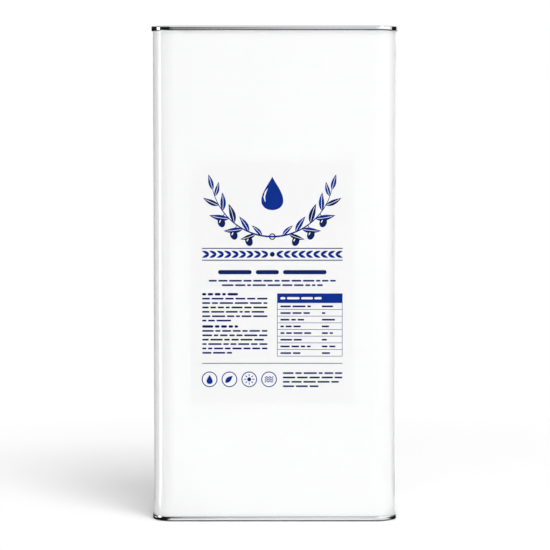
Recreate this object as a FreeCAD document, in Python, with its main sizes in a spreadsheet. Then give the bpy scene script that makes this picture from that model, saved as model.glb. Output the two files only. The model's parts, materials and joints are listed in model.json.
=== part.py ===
import FreeCAD, Part
import math
import os
import Sketcher

# Rectangular five-litre oil tin. Millimetres, +Z up, origin on the floor under the middle of the tin,
# front face towards -Y. The pouring spout stands on the +X half of the top and the bail on the -X half.

# Driving dimensions, one cell of the sheet each.
SIZES = {
    # can
    "tin_height": 310.0,
    "body_width": 152.0,
    "body_depth": 116.0,
    "body_corner_radius": 13.0,
    "tin_sheet": 0.28,
    "weld_width": 1.0,
    "weld_height": 0.12,
    "weld_end_gap": 0.6,
    # double seams
    "seam_length": 3.2,
    "seam_layer_gap": 0.035,
    "seam_crown_radius": 0.6,
    "seam_compound_depth": 0.25,
    "seam_hook_end_gap": 0.1,
    # ends
    "top_countersink": 7.0,
    "top_border_width": 4.5,
    "top_border_rise": 1.3,
    "top_border_corner_radius": 8.0,
    "wall_bend_radius": 1.2,
    "step_bend_radius": 0.5,
    "bottom_countersink": 5.0,
    "bottom_border_width": 12.0,
    "bottom_bead_width": 14.0,
    "bottom_bead_rise": 1.5,
    "bottom_bead_corner_radius": 10.0,
    "trough_width": 22.0,
    "trough_side_distance": 25.0,
    "trough_depth": 6.0,
    "trough_corner_radius": 8.0,
    # well and neck pressed in the top end for the spout
    "spout_side_distance": 40.0,
    "well_radius": 30.0,
    "well_depth": 7.0,
    "neck_radius": 20.6,
    "neck_height": 4.2,
    "neck_bend_radius": 0.8,
    "curl_radius": 0.7,
    "curl_tail": 0.6,
    # fixed half of the spout
    "fit_clearance": 0.1,
    "gasket_thickness": 0.8,
    "gasket_edge_gap": 0.1,
    "base_wall": 1.3,
    "base_round_radius": 1.0,
    "flange_thickness": 1.4,
    "flange_wall": 1.2,
    "flange_skirt": 3.4,
    "cup_depth": 12.6,
    "cup_floor_thickness": 3.6,
    "guide_radius": 14.3,
    "guide_wall": 1.5,
    "guide_length": 25.0,
    "wiper_section_radius": 0.85,
    "wiper_clearance": 0.05,
    "crimp_sheet": 0.4,
    "crimp_gap": 0.05,
    "crimp_lip": 2.2,
    "crimp_bite": 0.8,
    # sliding half of the spout
    "spout_travel": 36.0,
    "nozzle_wall": 1.6,
    "nozzle_neck": 12.8,
    "collar_reach": 2.6,
    "collar_thickness": 1.4,
    "lip_flare": 0.7,
    "lip_height": 1.8,
    "lip_edge": 0.6,
    "lip_round_radius": 0.8,
    "stop_reach": 1.4,
    "stop_thickness": 2.0,
    # screw cap with its pull ring
    "liner_thickness": 1.2,
    "liner_gap": 0.3,
    "cap_radius": 17.2,
    "cap_sheet": 0.3,
    "cap_recess_radius": 15.2,
    "cap_recess_depth": 2.9,
    "cap_bend_radius": 0.5,
    "cap_collar_gap": 0.6,
    "cap_hem_height": 1.2,
    "cap_hem_reach": 0.5,
    "rib_width": 0.9,
    "rib_height": 0.4,
    "ring_wire_radius": 1.0,
    "ring_lift": 0.3,
    "ring_hinge_offset": 9.0,
    "ring_half_width": 8.0,
    "ring_reach": 12.0,
    "ring_bend_radius": 3.0,
    "bridge_sheet": 0.4,
    "bridge_width": 6.0,
    "bridge_foot": 3.0,
    # carrying handle
    "bail_wire_radius": 2.0,
    "bail_lift": 0.3,
    "grip_side_distance": 30.0,
    "bail_side_distance": 17.0,
    "bail_bend_radius": 12.0,
    "pin_bend_radius": 2.6,
    "pin_length": 7.6,
    "pin_clearance": 0.1,
    "ear_sheet": 0.8,
    "ear_width": 6.5,
    "ear_foot": 5.0,
    "ear_side_gap": 0.4,
    "grip_width": 10.0,
    "grip_thickness": 6.4,
    "grip_end_gap": 5.0,
    "grip_edge_radius": 2.6,
    "grip_end_radius": 1.2,
    "grip_bore_gap": 0.05,
    # sticker on the front
    "label_left_margin": 23.75,
    "label_right_margin": 26.55,
    "label_height": 151.0,
    "label_bottom": 75.0,
    "label_thickness": 0.12,
}
GRIP_RIB_COUNT = 40

LEFT = 1
RIGHT = -1


class Length:
    """A length with its present value and the formula that ties it to the sheet."""

    def __init__(self, value, formula):
        self.value = value
        self.formula = formula

    def __add__(self, other):
        other = as_length(other)
        return Length(self.value + other.value, f"({self.formula} + {other.formula})")

    def __sub__(self, other):
        other = as_length(other)
        return Length(self.value - other.value, f"({self.formula} - {other.formula})")

    def __mul__(self, factor):
        return Length(self.value * factor, f"{self.formula} * {factor}")

    def __truediv__(self, divisor):
        return Length(self.value / divisor, f"{self.formula} / {divisor}")

    def __neg__(self):
        return Length(-self.value, f"(0 - {self.formula})")


def as_length(thing):
    """Plain zero and lengths alike, as a length."""
    return thing if isinstance(thing, Length) else Length(float(thing), str(thing))


def size(name):
    """One driving dimension of the sheet."""
    return Length(SIZES[name], f"Sizes.{name}")


doc = FreeCAD.newDocument("oil_tin")
sheet = doc.addObject("Spreadsheet::Sheet", "Sizes")
for row, (name, value) in enumerate(SIZES.items(), start=1):
    sheet.set(f"A{row}", name)
    sheet.set(f"B{row}", str(value))
    sheet.setAlias(f"B{row}", name)
doc.recompute()
sub_parts = []


def new_body(label):
    """An empty body that becomes one sub-part."""
    body = doc.addObject("PartDesign::Body", label)
    body.Label = label
    sub_parts.append(body)
    return body


def new_sketch(body, name, plane, shift=0, lift=0):
    """A sketch on one of the body's own origin planes, shifted along its X and lifted along its normal."""
    sketch = body.newObject("Sketcher::SketchObject", name)
    roles = {feature.Role: feature for feature in body.Origin.OriginFeatures}
    sketch.AttachmentSupport = [(roles[plane], "")]
    sketch.MapMode = "FlatFace"
    sketch.setExpression("AttachmentOffset.Base.x", as_length(shift).formula)
    sketch.setExpression("AttachmentOffset.Base.z", as_length(lift).formula)
    return sketch


def arc_between(start, end, radius, turn):
    """The arc of at most a quarter turn that leaves start, bends to the left or right and meets end."""
    chord = end - start
    across = FreeCAD.Vector(-chord.y, chord.x, 0)
    half_chord = chord.Length / 2
    across.normalize()
    rise = math.sqrt(max(radius ** 2 - half_chord ** 2, 0.0))
    centre = start + chord / 2 + across * rise * turn
    first, last = (start, end) if turn == LEFT else (end, start)
    angles = [math.atan2(point.y - centre.y, point.x - centre.x) for point in (first, last)]
    return Part.ArcOfCircle(Part.Circle(centre, FreeCAD.Vector(0, 0, 1), radius), *angles)


def bind(sketch, kind, places, length):
    """A dimension of the sketch that follows its formula."""
    index = sketch.addConstraint(Sketcher.Constraint(kind, *places, length.value))
    sketch.setExpression(f"Constraints[{index}]", length.formula)


def draw(sketch, moves, closed=True):
    """Draws an outline. (x, y) is reached by a straight line and (x, y, radius, turn) by an arc."""
    corners = [(as_length(move[0]), as_length(move[1])) for move in moves]
    points = [FreeCAD.Vector(x.value, y.value, 0) for x, y in corners]
    ends = []
    for index in range(len(moves) if closed else len(moves) - 1):
        target = (index + 1) % len(moves)
        if len(moves[target]) == 2:
            edge = sketch.addGeometry(Part.LineSegment(points[index], points[target]), False)
            ends.append((edge, 1, 2))
            continue
        radius, turn = moves[target][2:]
        edge = sketch.addGeometry(arc_between(points[index], points[target], radius.value, turn), False)
        ends.append((edge, 1, 2) if turn == LEFT else (edge, 2, 1))
        bind(sketch, "Radius", (edge,), radius)
    for index, (edge, start, end) in enumerate(ends):
        bind(sketch, "DistanceX", (-1, 1, edge, start), corners[index][0])
        bind(sketch, "DistanceY", (-1, 1, edge, start), corners[index][1])
        if index:
            before, ignored, before_end = ends[index - 1]
            sketch.addConstraint(Sketcher.Constraint("Coincident", before, before_end, edge, start))
    edge, start, end = ends[-1]
    if closed:
        first, first_start, ignored = ends[0]
        sketch.addConstraint(Sketcher.Constraint("Coincident", edge, end, first, first_start))
    else:
        bind(sketch, "DistanceX", (-1, 1, edge, end), corners[-1][0])
        bind(sketch, "DistanceY", (-1, 1, edge, end), corners[-1][1])


def draw_circle(sketch, x, y, radius):
    """Draws a circle whose centre and radius follow their formulas."""
    x, y = as_length(x), as_length(y)
    centre = FreeCAD.Vector(x.value, y.value, 0)
    edge = sketch.addGeometry(Part.Circle(centre, FreeCAD.Vector(0, 0, 1), radius.value), False)
    bind(sketch, "DistanceX", (-1, 1, edge, 3), x)
    bind(sketch, "DistanceY", (-1, 1, edge, 3), y)
    bind(sketch, "Radius", (edge,), radius)


def pad(body, sketch, name, thickness):
    """Raises a sketch along its normal."""
    feature = body.newObject("PartDesign::Pad", name)
    feature.Profile = sketch
    feature.setExpression("Length", thickness.formula)
    return feature


def revolve(body, sketch, name):
    """Turns a section all the way round its sketch's upright axis."""
    feature = body.newObject("PartDesign::Revolution", name)
    feature.Profile = sketch
    feature.ReferenceAxis = (sketch, ["V_Axis"])
    feature.Angle = 360.0
    return feature


def sweep(body, section, path, name):
    """Carries an upright section along a level path."""
    feature = body.newObject("PartDesign::AdditivePipe", name)
    feature.Profile = section
    feature.Spine = (path, [])
    return feature


def rounded_rectangle(half_x, half_y, radius, centre_x=0, centre_y=0):
    """A rounded rectangle that starts in the middle of its +X side."""
    east, west = half_x + centre_x, -half_x + centre_x
    north, south = half_y + centre_y, -half_y + centre_y
    return [
        (east, centre_y),
        (east, north - radius),
        (east - radius, north, radius, LEFT),
        (west + radius, north),
        (west, north - radius, radius, LEFT),
        (west, south + radius),
        (west + radius, south, radius, LEFT),
        (east - radius, south),
        (east, south + radius, radius, LEFT),
    ]


tin_sheet = size("tin_sheet")
layer_gap = size("seam_layer_gap")
tin_height = size("tin_height")
half_width = size("body_width") / 2
half_depth = size("body_depth") / 2

# Places on the top, each from the side of the can that it is nearest.
spout_offset = half_width - size("spout_side_distance")
bail_reach = half_width - size("grip_side_distance")
bail_half_span = half_depth - size("bail_side_distance")
trough_half_length = half_depth - size("trough_side_distance")
grip_length = (trough_half_length - size("grip_end_gap")) * 2


def body_outline(inset=0):
    """The can's outline seen from above, drawn in from the body's outer face."""
    radius = size("body_corner_radius")
    return rounded_rectangle(half_width - inset, half_depth - inset, radius - inset)


def stepped_outline(inset, radius, offset=0):
    """A step's wall from above, drawn in from the body's outer face, or a line at an offset within it."""
    return rounded_rectangle(half_width - inset - offset, half_depth - inset - offset, radius - offset)


# Layers of a double seam from the inside out: chuck wall, body wall, cover hook, body hook, seaming wall.
layer_pitch = tin_sheet + layer_gap
chuck_face = half_width - layer_pitch - tin_sheet
cover_hook_face = half_width + layer_gap
body_hook_face = cover_hook_face + layer_pitch
seaming_face = body_hook_face + layer_pitch
seam_outer = seaming_face + tin_sheet
hook_inner_radius = layer_gap + tin_sheet / 2
hook_outer_radius = hook_inner_radius + tin_sheet
crown_radius = size("seam_crown_radius")
crown_inner_radius = crown_radius - tin_sheet
crest_depth = tin_sheet + size("seam_compound_depth")
body_bend_depth = crest_depth + hook_outer_radius
cover_bend_depth = size("seam_length") - hook_outer_radius
hook_length = cover_bend_depth - body_bend_depth - size("seam_hook_end_gap")
chuck_inset = half_width - chuck_face


def at_bottom(moves):
    """A seam section, given as places across and depths from the rim, as it stands at the bottom rim."""
    return moves


def at_top(moves):
    """The same section hung upside down from the top rim."""
    turned = []
    for move in moves:
        bend = (move[2], -move[3]) if len(move) > 2 else ()
        turned.append((move[0], tin_height - move[1], *bend))
    return turned


def body_hook_moves():
    """The flange of the body from its outer face over the bend, down the hook and back to its inner face."""
    middle = half_width + hook_inner_radius
    tip_depth = body_bend_depth + hook_length
    crest_inner = body_bend_depth - hook_inner_radius
    return [
        (half_width, body_bend_depth),
        (middle, crest_inner, hook_inner_radius, LEFT),
        (body_hook_face, body_bend_depth, hook_inner_radius, LEFT),
        (body_hook_face, tip_depth),
        (body_hook_face + tin_sheet, tip_depth),
        (body_hook_face + tin_sheet, body_bend_depth),
        (middle, crest_depth, hook_outer_radius, RIGHT),
        (half_width - tin_sheet, body_bend_depth, hook_outer_radius, RIGHT),
    ]


def end_seam_moves(countersink):
    """An end's section from its panel up the chuck wall, over the crown and round into the cover hook."""
    bend = size("wall_bend_radius")
    seam_length = size("seam_length")
    middle = seam_outer - hook_outer_radius
    tip_depth = cover_bend_depth - hook_length
    return [
        (chuck_face - bend, countersink),
        (chuck_face, countersink - bend, bend, RIGHT),
        (chuck_face, crown_radius),
        (chuck_face + crown_radius, 0, crown_radius, LEFT),
        (seam_outer - crown_radius, 0),
        (seam_outer, crown_radius, crown_radius, LEFT),
        (seam_outer, cover_bend_depth),
        (middle, seam_length, hook_outer_radius, LEFT),
        (cover_hook_face, cover_bend_depth, hook_outer_radius, LEFT),
        (cover_hook_face, tip_depth),
        (cover_hook_face + tin_sheet, tip_depth),
        (cover_hook_face + tin_sheet, cover_bend_depth),
        (middle, cover_bend_depth + hook_inner_radius, hook_inner_radius, RIGHT),
        (seaming_face, cover_bend_depth, hook_inner_radius, RIGHT),
        (seaming_face, crown_radius),
        (seam_outer - crown_radius, tin_sheet, crown_inner_radius, RIGHT),
        (chuck_face + crown_radius, tin_sheet),
        (chuck_face + tin_sheet, crown_radius, crown_inner_radius, RIGHT),
        (chuck_face + tin_sheet, countersink - bend),
        (chuck_face - bend, countersink + tin_sheet, bend + tin_sheet, LEFT),
    ]


def step_moves(wall, outer, inner, bend, turn):
    """Sheet that steps between two levels at an upright wall: down inwards for LEFT, up inwards for RIGHT.
    The levels are those of the sheet's upper face for a step down and of its lower face for a step up."""
    far = bend + tin_sheet
    return [
        (wall + far, outer),
        (wall, outer - far * turn, far, turn),
        (wall, inner + bend * turn),
        (wall - bend, inner, bend, -turn),
        (wall - bend, inner - tin_sheet * turn),
        (wall + tin_sheet, inner + bend * turn, far, turn),
        (wall + tin_sheet, outer - far * turn),
        (wall + far, outer - tin_sheet * turn, bend, -turn),
    ]


def add_swept_ring(body, name, section_moves, path_moves):
    """Adds a section swept round a closed level path."""
    path = new_sketch(body, f"{name}_path", "XY_Plane")
    draw(path, path_moves)
    section = new_sketch(body, f"{name}_section", "XZ_Plane")
    draw(section, section_moves)
    return sweep(body, section, path, name)


def add_plate(body, name, lower_face, outline, holes=()):
    """Adds flat sheet with its lower face at a level. A hole is an outline or a circle (x, y, radius)."""
    sketch = new_sketch(body, f"{name}_outline", "XY_Plane", lift=lower_face)
    draw(sketch, outline)
    for hole in holes:
        if isinstance(hole, tuple):
            draw_circle(sketch, *hole)
        else:
            draw(sketch, hole)
    return pad(body, sketch, name, tin_sheet)


def add_revolved(label, moves):
    """A body of revolution about the spout's axis, from places across and heights."""
    body = new_body(label)
    section = new_sketch(body, f"{label}_section", "XZ_Plane", shift=spout_offset)
    draw(section, moves)
    revolve(body, section, f"{label}_turned")
    return body


# Heights and radii round the spout, each from the piece that it stands on.
panel_level = tin_height - size("top_countersink")
border_level = panel_level + size("top_border_rise")
well_floor = panel_level - size("well_depth")
curl_level = well_floor + size("neck_height")
curl_top = curl_level + size("curl_radius") + tin_sheet
curl_outer = size("neck_radius") + tin_sheet * 2 + size("curl_radius") * 2
gasket_top = curl_top + size("gasket_thickness")
flange_top = gasket_top + size("flange_thickness")
skirt_bottom = gasket_top - size("flange_skirt")
skirt_inner = curl_outer + size("fit_clearance")
skirt_outer = skirt_inner + size("flange_wall")
cup_outer = size("neck_radius") - size("fit_clearance")
cup_inner = cup_outer - size("base_wall")
cup_floor = flange_top - size("cup_depth")
cup_underside = cup_floor - size("cup_floor_thickness")
guide_end = cup_underside - size("guide_length")
nozzle_outer = size("guide_radius") - size("fit_clearance")
nozzle_inner = nozzle_outer - size("nozzle_wall")
collar_top = cup_floor + size("collar_thickness")
lip_level = cup_floor + size("nozzle_neck")
stop_level = guide_end - size("spout_travel")
wiper_level = (cup_floor + cup_underside) / 2
wiper_radius = nozzle_outer + size("wiper_clearance") + size("wiper_section_radius")
cap_floor_under = lip_level + size("liner_thickness")
cap_floor = cap_floor_under + size("cap_sheet")
cap_rim = cap_floor + size("cap_recess_depth")
ring_level = cap_floor + size("ring_wire_radius") + size("ring_lift")
pivot_level = panel_level + size("bail_wire_radius") + size("bail_lift")


def make_tin_body():
    """The can's wall: one sheet bent round, welded at the back and flanged into both seams."""
    body = new_body("tin_body")
    outside_up = at_bottom(body_hook_moves())
    inside_down = at_top(body_hook_moves())
    section = list(reversed_moves(outside_up)) + inside_down
    add_swept_ring(body, "wall", section, body_outline())
    reach = size("seam_length") + size("weld_end_gap")
    weld = new_sketch(body, "weld_outline", "XY_Plane", lift=reach)
    half_weld = size("weld_width") / 2
    root = half_depth - tin_sheet / 2
    crest = half_depth + size("weld_height")
    draw(weld, [(half_weld, root), (half_weld, crest), (-half_weld, crest), (-half_weld, root)])
    pad(body, weld, "weld", tin_height - reach * 2)


def reversed_moves(moves):
    """The same open chain of lines and arcs, walked from its last corner to its first."""
    corners = [move[:2] for move in moves]
    walked = [corners[-1]]
    for index in range(len(moves) - 1, 0, -1):
        bend = (moves[index][2], -moves[index][3]) if len(moves[index]) > 2 else ()
        walked.append((*corners[index - 1], *bend))
    return walked


def make_top_end():
    """The top: seam and chuck wall, stepped border, panel, spout well with a curled neck, finger trough."""
    body = new_body("top_end")
    bend, step_bend = size("wall_bend_radius"), size("step_bend_radius")
    add_swept_ring(body, "seam", at_top(end_seam_moves(tin_height - border_level)), body_outline())
    step_inset = chuck_inset + size("top_border_width")
    step_radius = size("top_border_corner_radius")
    step_hole = stepped_outline(step_inset, step_radius, -(step_bend + tin_sheet))
    add_plate(body, "border", border_level - tin_sheet, body_outline(chuck_inset + bend), [step_hole])
    add_swept_ring(body, "border_step",
                   step_moves(half_width - step_inset, border_level, panel_level, step_bend, LEFT),
                   stepped_outline(step_inset, step_radius))

    trough_x = -bail_reach
    trough_half_x, trough_half_y = size("trough_width") / 2, trough_half_length
    trough_radius = size("trough_corner_radius")
    far = bend + tin_sheet
    trough_hole = rounded_rectangle(trough_half_x + far, trough_half_y + far, trough_radius + far, trough_x)
    well_hole = (spout_offset, 0, size("well_radius") + far)
    add_plate(body, "panel", panel_level - tin_sheet,
              stepped_outline(step_inset, step_radius, step_bend), [trough_hole, well_hole])

    trough_floor = panel_level - size("trough_depth")
    add_swept_ring(body, "trough_wall",
                   step_moves(trough_x + trough_half_x, panel_level, trough_floor, bend, LEFT),
                   rounded_rectangle(trough_half_x, trough_half_y, trough_radius, trough_x))
    add_plate(body, "trough_floor", trough_floor - tin_sheet,
              rounded_rectangle(trough_half_x - bend, trough_half_y - bend, trough_radius - bend, trough_x))

    section = new_sketch(body, "well_section", "XZ_Plane", shift=spout_offset)
    draw(section, well_moves())
    revolve(body, section, "well")


def well_moves():
    """The spout's well: from the panel down its wall, across the floor, up the neck and over the curl."""
    bend, neck_bend, curl = size("wall_bend_radius"), size("neck_bend_radius"), size("curl_radius")
    wall, neck = size("well_radius"), size("neck_radius")
    far = bend + tin_sheet
    neck_far = neck_bend + tin_sheet
    curl_far = curl + tin_sheet
    tail_level = curl_level - size("curl_tail")
    curl_middle = neck + curl_far
    return [
        (wall + far, panel_level),
        (wall, panel_level - far, far, LEFT),
        (wall, well_floor + bend),
        (wall - bend, well_floor, bend, RIGHT),
        (neck + neck_far, well_floor),
        (neck + tin_sheet, well_floor + neck_bend, neck_bend, RIGHT),
        (neck + tin_sheet, curl_level),
        (curl_middle, curl_level + curl, curl, RIGHT),
        (curl_middle + curl, curl_level, curl, RIGHT),
        (curl_middle + curl, tail_level),
        (curl_middle + curl_far, tail_level),
        (curl_middle + curl_far, curl_level),
        (curl_middle, curl_level + curl_far, curl_far, LEFT),
        (neck, curl_level, curl_far, LEFT),
        (neck, well_floor + neck_bend),
        (neck + neck_far, well_floor - tin_sheet, neck_far, LEFT),
        (wall - bend, well_floor - tin_sheet),
        (wall + tin_sheet, well_floor + bend, far, LEFT),
        (wall + tin_sheet, panel_level - far),
        (wall + far, panel_level - tin_sheet, bend, RIGHT),
    ]


def make_bottom_end():
    """The bottom: seam and chuck wall, a border, and a raised stiffening bead round a flat middle."""
    body = new_body("bottom_end")
    bend, step_bend = size("wall_bend_radius"), size("step_bend_radius")
    far = step_bend + tin_sheet
    border = size("bottom_countersink")
    bead = border + size("bottom_bead_rise")
    up_inset = chuck_inset + size("bottom_border_width")
    down_inset = up_inset + size("bottom_bead_width")
    radius = size("bottom_bead_corner_radius")
    add_swept_ring(body, "seam", at_bottom(end_seam_moves(border)), body_outline())
    add_plate(body, "border", border, body_outline(chuck_inset + bend),
              [stepped_outline(up_inset, radius, -far)])
    add_swept_ring(body, "bead_rise", step_moves(half_width - up_inset, border, bead, step_bend, RIGHT),
                   stepped_outline(up_inset, radius))
    add_plate(body, "bead", bead, stepped_outline(up_inset, radius, step_bend),
              [stepped_outline(down_inset, radius, -far)])
    down_steps = step_moves(half_width - down_inset, bead + tin_sheet, border + tin_sheet, step_bend, LEFT)
    add_swept_ring(body, "bead_fall", down_steps, stepped_outline(down_inset, radius))
    add_plate(body, "middle", border, stepped_outline(down_inset, radius, step_bend))


def make_seam_compound(label, place):
    """The sealing compound in the void between a seam's crown and the crest of the body hook."""
    body = new_body(label)
    near, far = chuck_face + crown_radius, seam_outer - crown_radius
    foot = crest_depth - layer_gap
    section = [(near, tin_sheet), (far, tin_sheet), (far, foot), (near, foot)]
    add_swept_ring(body, f"{label}_bead", place(section), body_outline())


def make_front_label():
    """The sticker on the front wall."""
    body = new_body("front_label")
    sketch = new_sketch(body, "label_outline", "XZ_Plane", lift=half_depth)
    east, west = half_width - size("label_right_margin"), size("label_left_margin") - half_width
    low, high = size("label_bottom"), size("label_bottom") + size("label_height")
    draw(sketch, [(east, low), (east, high), (west, high), (west, low)])
    pad(body, sketch, "label_sheet", size("label_thickness"))


def make_spout_base():
    """The moulded socket: flange over the neck's curl, cup for the cap, wiper groove and guide sleeve."""
    guide, rounding = size("guide_radius"), size("base_round_radius")
    sleeve = guide + size("guide_wall")
    groove = wiper_radius + size("wiper_section_radius") + size("fit_clearance")
    groove_half = size("wiper_section_radius") + size("fit_clearance")
    add_revolved("spout_base", [
        (guide, guide_end),
        (sleeve, guide_end),
        (sleeve, cup_underside),
        (cup_outer - rounding, cup_underside),
        (cup_outer, cup_underside + rounding, rounding, LEFT),
        (cup_outer, gasket_top),
        (skirt_inner, gasket_top),
        (skirt_inner, skirt_bottom),
        (skirt_outer, skirt_bottom),
        (skirt_outer, flange_top - rounding),
        (skirt_outer - rounding, flange_top, rounding, LEFT),
        (cup_inner + rounding, flange_top),
        (cup_inner, flange_top - rounding, rounding, LEFT),
        (cup_inner, cup_floor),
        (guide, cup_floor),
        (guide, wiper_level + groove_half),
        (groove, wiper_level + groove_half),
        (groove, wiper_level - groove_half),
        (guide, wiper_level - groove_half),
    ])


def make_spout_gasket():
    """The flat ring that seals the spout base on the curl."""
    near = size("neck_radius") + size("gasket_edge_gap")
    far = curl_outer - size("gasket_edge_gap")
    seat = curl_top + layer_gap
    add_revolved("spout_gasket", [(near, seat), (far, seat), (far, gasket_top), (near, gasket_top)])


def make_spout_wiper():
    """The round seal in the base's groove that wipes the nozzle."""
    ring = doc.addObject("Part::Torus", "spout_wiper")
    ring.Label = "spout_wiper"
    ring.setExpression("Radius1", wiper_radius.formula)
    ring.setExpression("Radius2", size("wiper_section_radius").formula)
    ring.setExpression("Placement.Base.x", spout_offset.formula)
    ring.setExpression("Placement.Base.z", wiper_level.formula)
    sub_parts.append(ring)


def make_crimp_ring():
    """The metal ring that grips the flange from above and is crimped in under the curl."""
    metal, gap = size("crimp_sheet"), size("crimp_gap")
    face = skirt_outer + gap
    outer = face + metal
    top, bottom = flange_top + gap, skirt_bottom - gap
    lip = face - size("crimp_lip")
    bite = curl_outer - size("crimp_bite")
    add_revolved("spout_crimp_ring", [
        (bite, bottom - metal),
        (outer - metal, bottom - metal),
        (outer, bottom, metal, LEFT),
        (outer, top),
        (outer - metal, top + metal, metal, LEFT),
        (lip, top + metal),
        (lip, top),
        (face, top),
        (face, bottom),
        (bite, bottom),
    ])


def make_spout_nozzle():
    """The sliding tube: stop at its foot, collar that seats in the cup, flared pouring lip."""
    stop = nozzle_outer + size("stop_reach")
    collar = nozzle_outer + size("collar_reach")
    lip, rounding = nozzle_outer + size("lip_flare"), size("lip_round_radius")
    add_revolved("spout_nozzle", [
        (nozzle_inner, stop_level - size("stop_thickness")),
        (stop, stop_level - size("stop_thickness")),
        (stop, stop_level),
        (nozzle_outer, stop_level),
        (nozzle_outer, cup_floor),
        (collar, cup_floor),
        (collar, collar_top),
        (nozzle_outer, collar_top),
        (nozzle_outer, lip_level - size("lip_height")),
        (lip, lip_level - size("lip_edge")),
        (lip, lip_level),
        (nozzle_inner + rounding, lip_level),
        (nozzle_inner, lip_level - rounding, rounding, LEFT),
    ])


def make_screw_cap():
    """The drawn steel cap: recessed top, rolled rim, ribbed skirt and a hem at its foot."""
    metal, bend = size("cap_sheet"), size("cap_bend_radius")
    far = bend + metal
    recess, outer = size("cap_recess_radius"), size("cap_radius")
    channel, skirt = recess + metal, outer - metal
    foot = collar_top + size("cap_collar_gap")
    hem_top, hem = foot + size("cap_hem_height"), outer + size("cap_hem_reach")
    body = add_revolved("screw_cap", [
        (0, cap_floor_under),
        (recess - bend, cap_floor_under),
        (channel, cap_floor + bend, far, LEFT),
        (channel, cap_rim - far),
        (channel + bend, cap_rim - metal, bend, RIGHT),
        (skirt - bend, cap_rim - metal),
        (skirt, cap_rim - far, bend, RIGHT),
        (skirt, foot),
        (hem, foot),
        (hem, hem_top),
        (outer, hem_top),
        (outer, cap_rim - far),
        (outer - far, cap_rim, far, LEFT),
        (recess + far, cap_rim),
        (recess, cap_rim - far, far, LEFT),
        (recess, cap_floor + bend),
        (recess - bend, cap_floor, bend, RIGHT),
        (0, cap_floor),
    ])
    outline = new_sketch(body, "rib_outline", "XY_Plane", shift=spout_offset, lift=hem_top)
    half_rib = size("rib_width") / 2
    root, crest = outer - metal / 2, outer + size("rib_height")
    draw(outline, [(root, -half_rib), (crest, -half_rib / 2), (crest, half_rib / 2), (root, half_rib)])
    rib = pad(body, outline, "rib", cap_rim - far - hem_top)
    doc.recompute()
    ribs = body.newObject("PartDesign::PolarPattern", "ribs")
    ribs.Originals = [rib]
    ribs.Axis = (outline, ["N_Axis"])
    ribs.Angle = 360.0
    ribs.Occurrences = GRIP_RIB_COUNT
    body.Tip = ribs


def make_cap_liner():
    """The sealing disc inside the cap."""
    disc = doc.addObject("Part::Cylinder", "cap_liner")
    disc.Label = "cap_liner"
    radius = size("cap_radius") - size("cap_sheet") - size("liner_gap")
    disc.setExpression("Radius", radius.formula)
    disc.setExpression("Height", size("liner_thickness").formula)
    disc.setExpression("Placement.Base.x", spout_offset.formula)
    disc.setExpression("Placement.Base.z", lip_level.formula)
    sub_parts.append(disc)


def strap_moves(centre, seat, pin_level, tunnel, metal, foot):
    """A strap bent over a pin, with a foot on each side."""
    inner_west, inner_east = centre - tunnel, centre + tunnel
    west, east = inner_west - metal, inner_east + metal
    roof = tunnel + metal
    return [
        (west - foot, seat),
        (inner_west, seat),
        (inner_west, pin_level),
        (centre, pin_level + tunnel, tunnel, RIGHT),
        (inner_east, pin_level, tunnel, RIGHT),
        (inner_east, seat),
        (east + foot, seat),
        (east + foot, seat + metal),
        (east, seat + metal),
        (east, pin_level),
        (centre, pin_level + roof, roof, LEFT),
        (west, pin_level, roof, LEFT),
        (west, seat + metal),
        (west - foot, seat + metal),
    ]


def make_cap_ring_bridge():
    """The strap on the cap's recess that holds the pull ring's bar."""
    body = new_body("cap_ring_bridge")
    width = size("bridge_width")
    sketch = new_sketch(body, "bridge_outline", "XZ_Plane", shift=spout_offset, lift=-width / 2)
    tunnel = size("ring_wire_radius") + size("pin_clearance")
    draw(sketch, strap_moves(-size("ring_hinge_offset"), cap_floor, ring_level, tunnel,
                             size("bridge_sheet"), size("bridge_foot")))
    pad(body, sketch, "bridge_strap", width)


def make_cap_pull_ring():
    """The wire loop that lies in the cap's recess, straight at its hinge and round at its far end."""
    body = new_body("cap_pull_ring")
    bar, tip = -size("ring_hinge_offset"), size("ring_reach")
    half, bend = size("ring_half_width"), size("ring_bend_radius")
    path = new_sketch(body, "ring_path", "XY_Plane", shift=spout_offset, lift=ring_level)
    draw(path, [
        (bar, 0),
        (bar, bend - half),
        (bar + bend, -half, bend, LEFT),
        (tip - half, -half),
        (tip, 0, half, LEFT),
        (tip - half, half, half, LEFT),
        (bar + bend, half),
        (bar, half - bend, bend, LEFT),
    ])
    section = new_sketch(body, "ring_section", "XZ_Plane", shift=spout_offset)
    draw_circle(section, bar, ring_level, size("ring_wire_radius"))
    sweep(body, section, path, "ring_wire")


def make_handle_bail():
    """The carrying wire: a pin in each ear, two arms and a cross bar, lying flat over the trough."""
    body = new_body("handle_bail")
    reach, span = bail_reach, bail_half_span
    bend, pin_bend = size("bail_bend_radius"), size("pin_bend_radius")
    pin_end = span + pin_bend + size("pin_length")
    path = new_sketch(body, "bail_path", "XY_Plane", lift=pivot_level)
    draw(path, [
        (0, pin_end),
        (0, span + pin_bend),
        (-pin_bend, span, pin_bend, RIGHT),
        (bend - reach, span),
        (-reach, span - bend, bend, LEFT),
        (-reach, bend - span),
        (bend - reach, -span, bend, LEFT),
        (-pin_bend, -span),
        (0, -(span + pin_bend), pin_bend, RIGHT),
        (0, -pin_end),
    ], closed=False)
    section = new_sketch(body, "bail_section", "XZ_Plane", lift=-pin_end)
    draw_circle(section, 0, pivot_level, size("bail_wire_radius"))
    sweep(body, section, path, "bail_wire")


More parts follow.
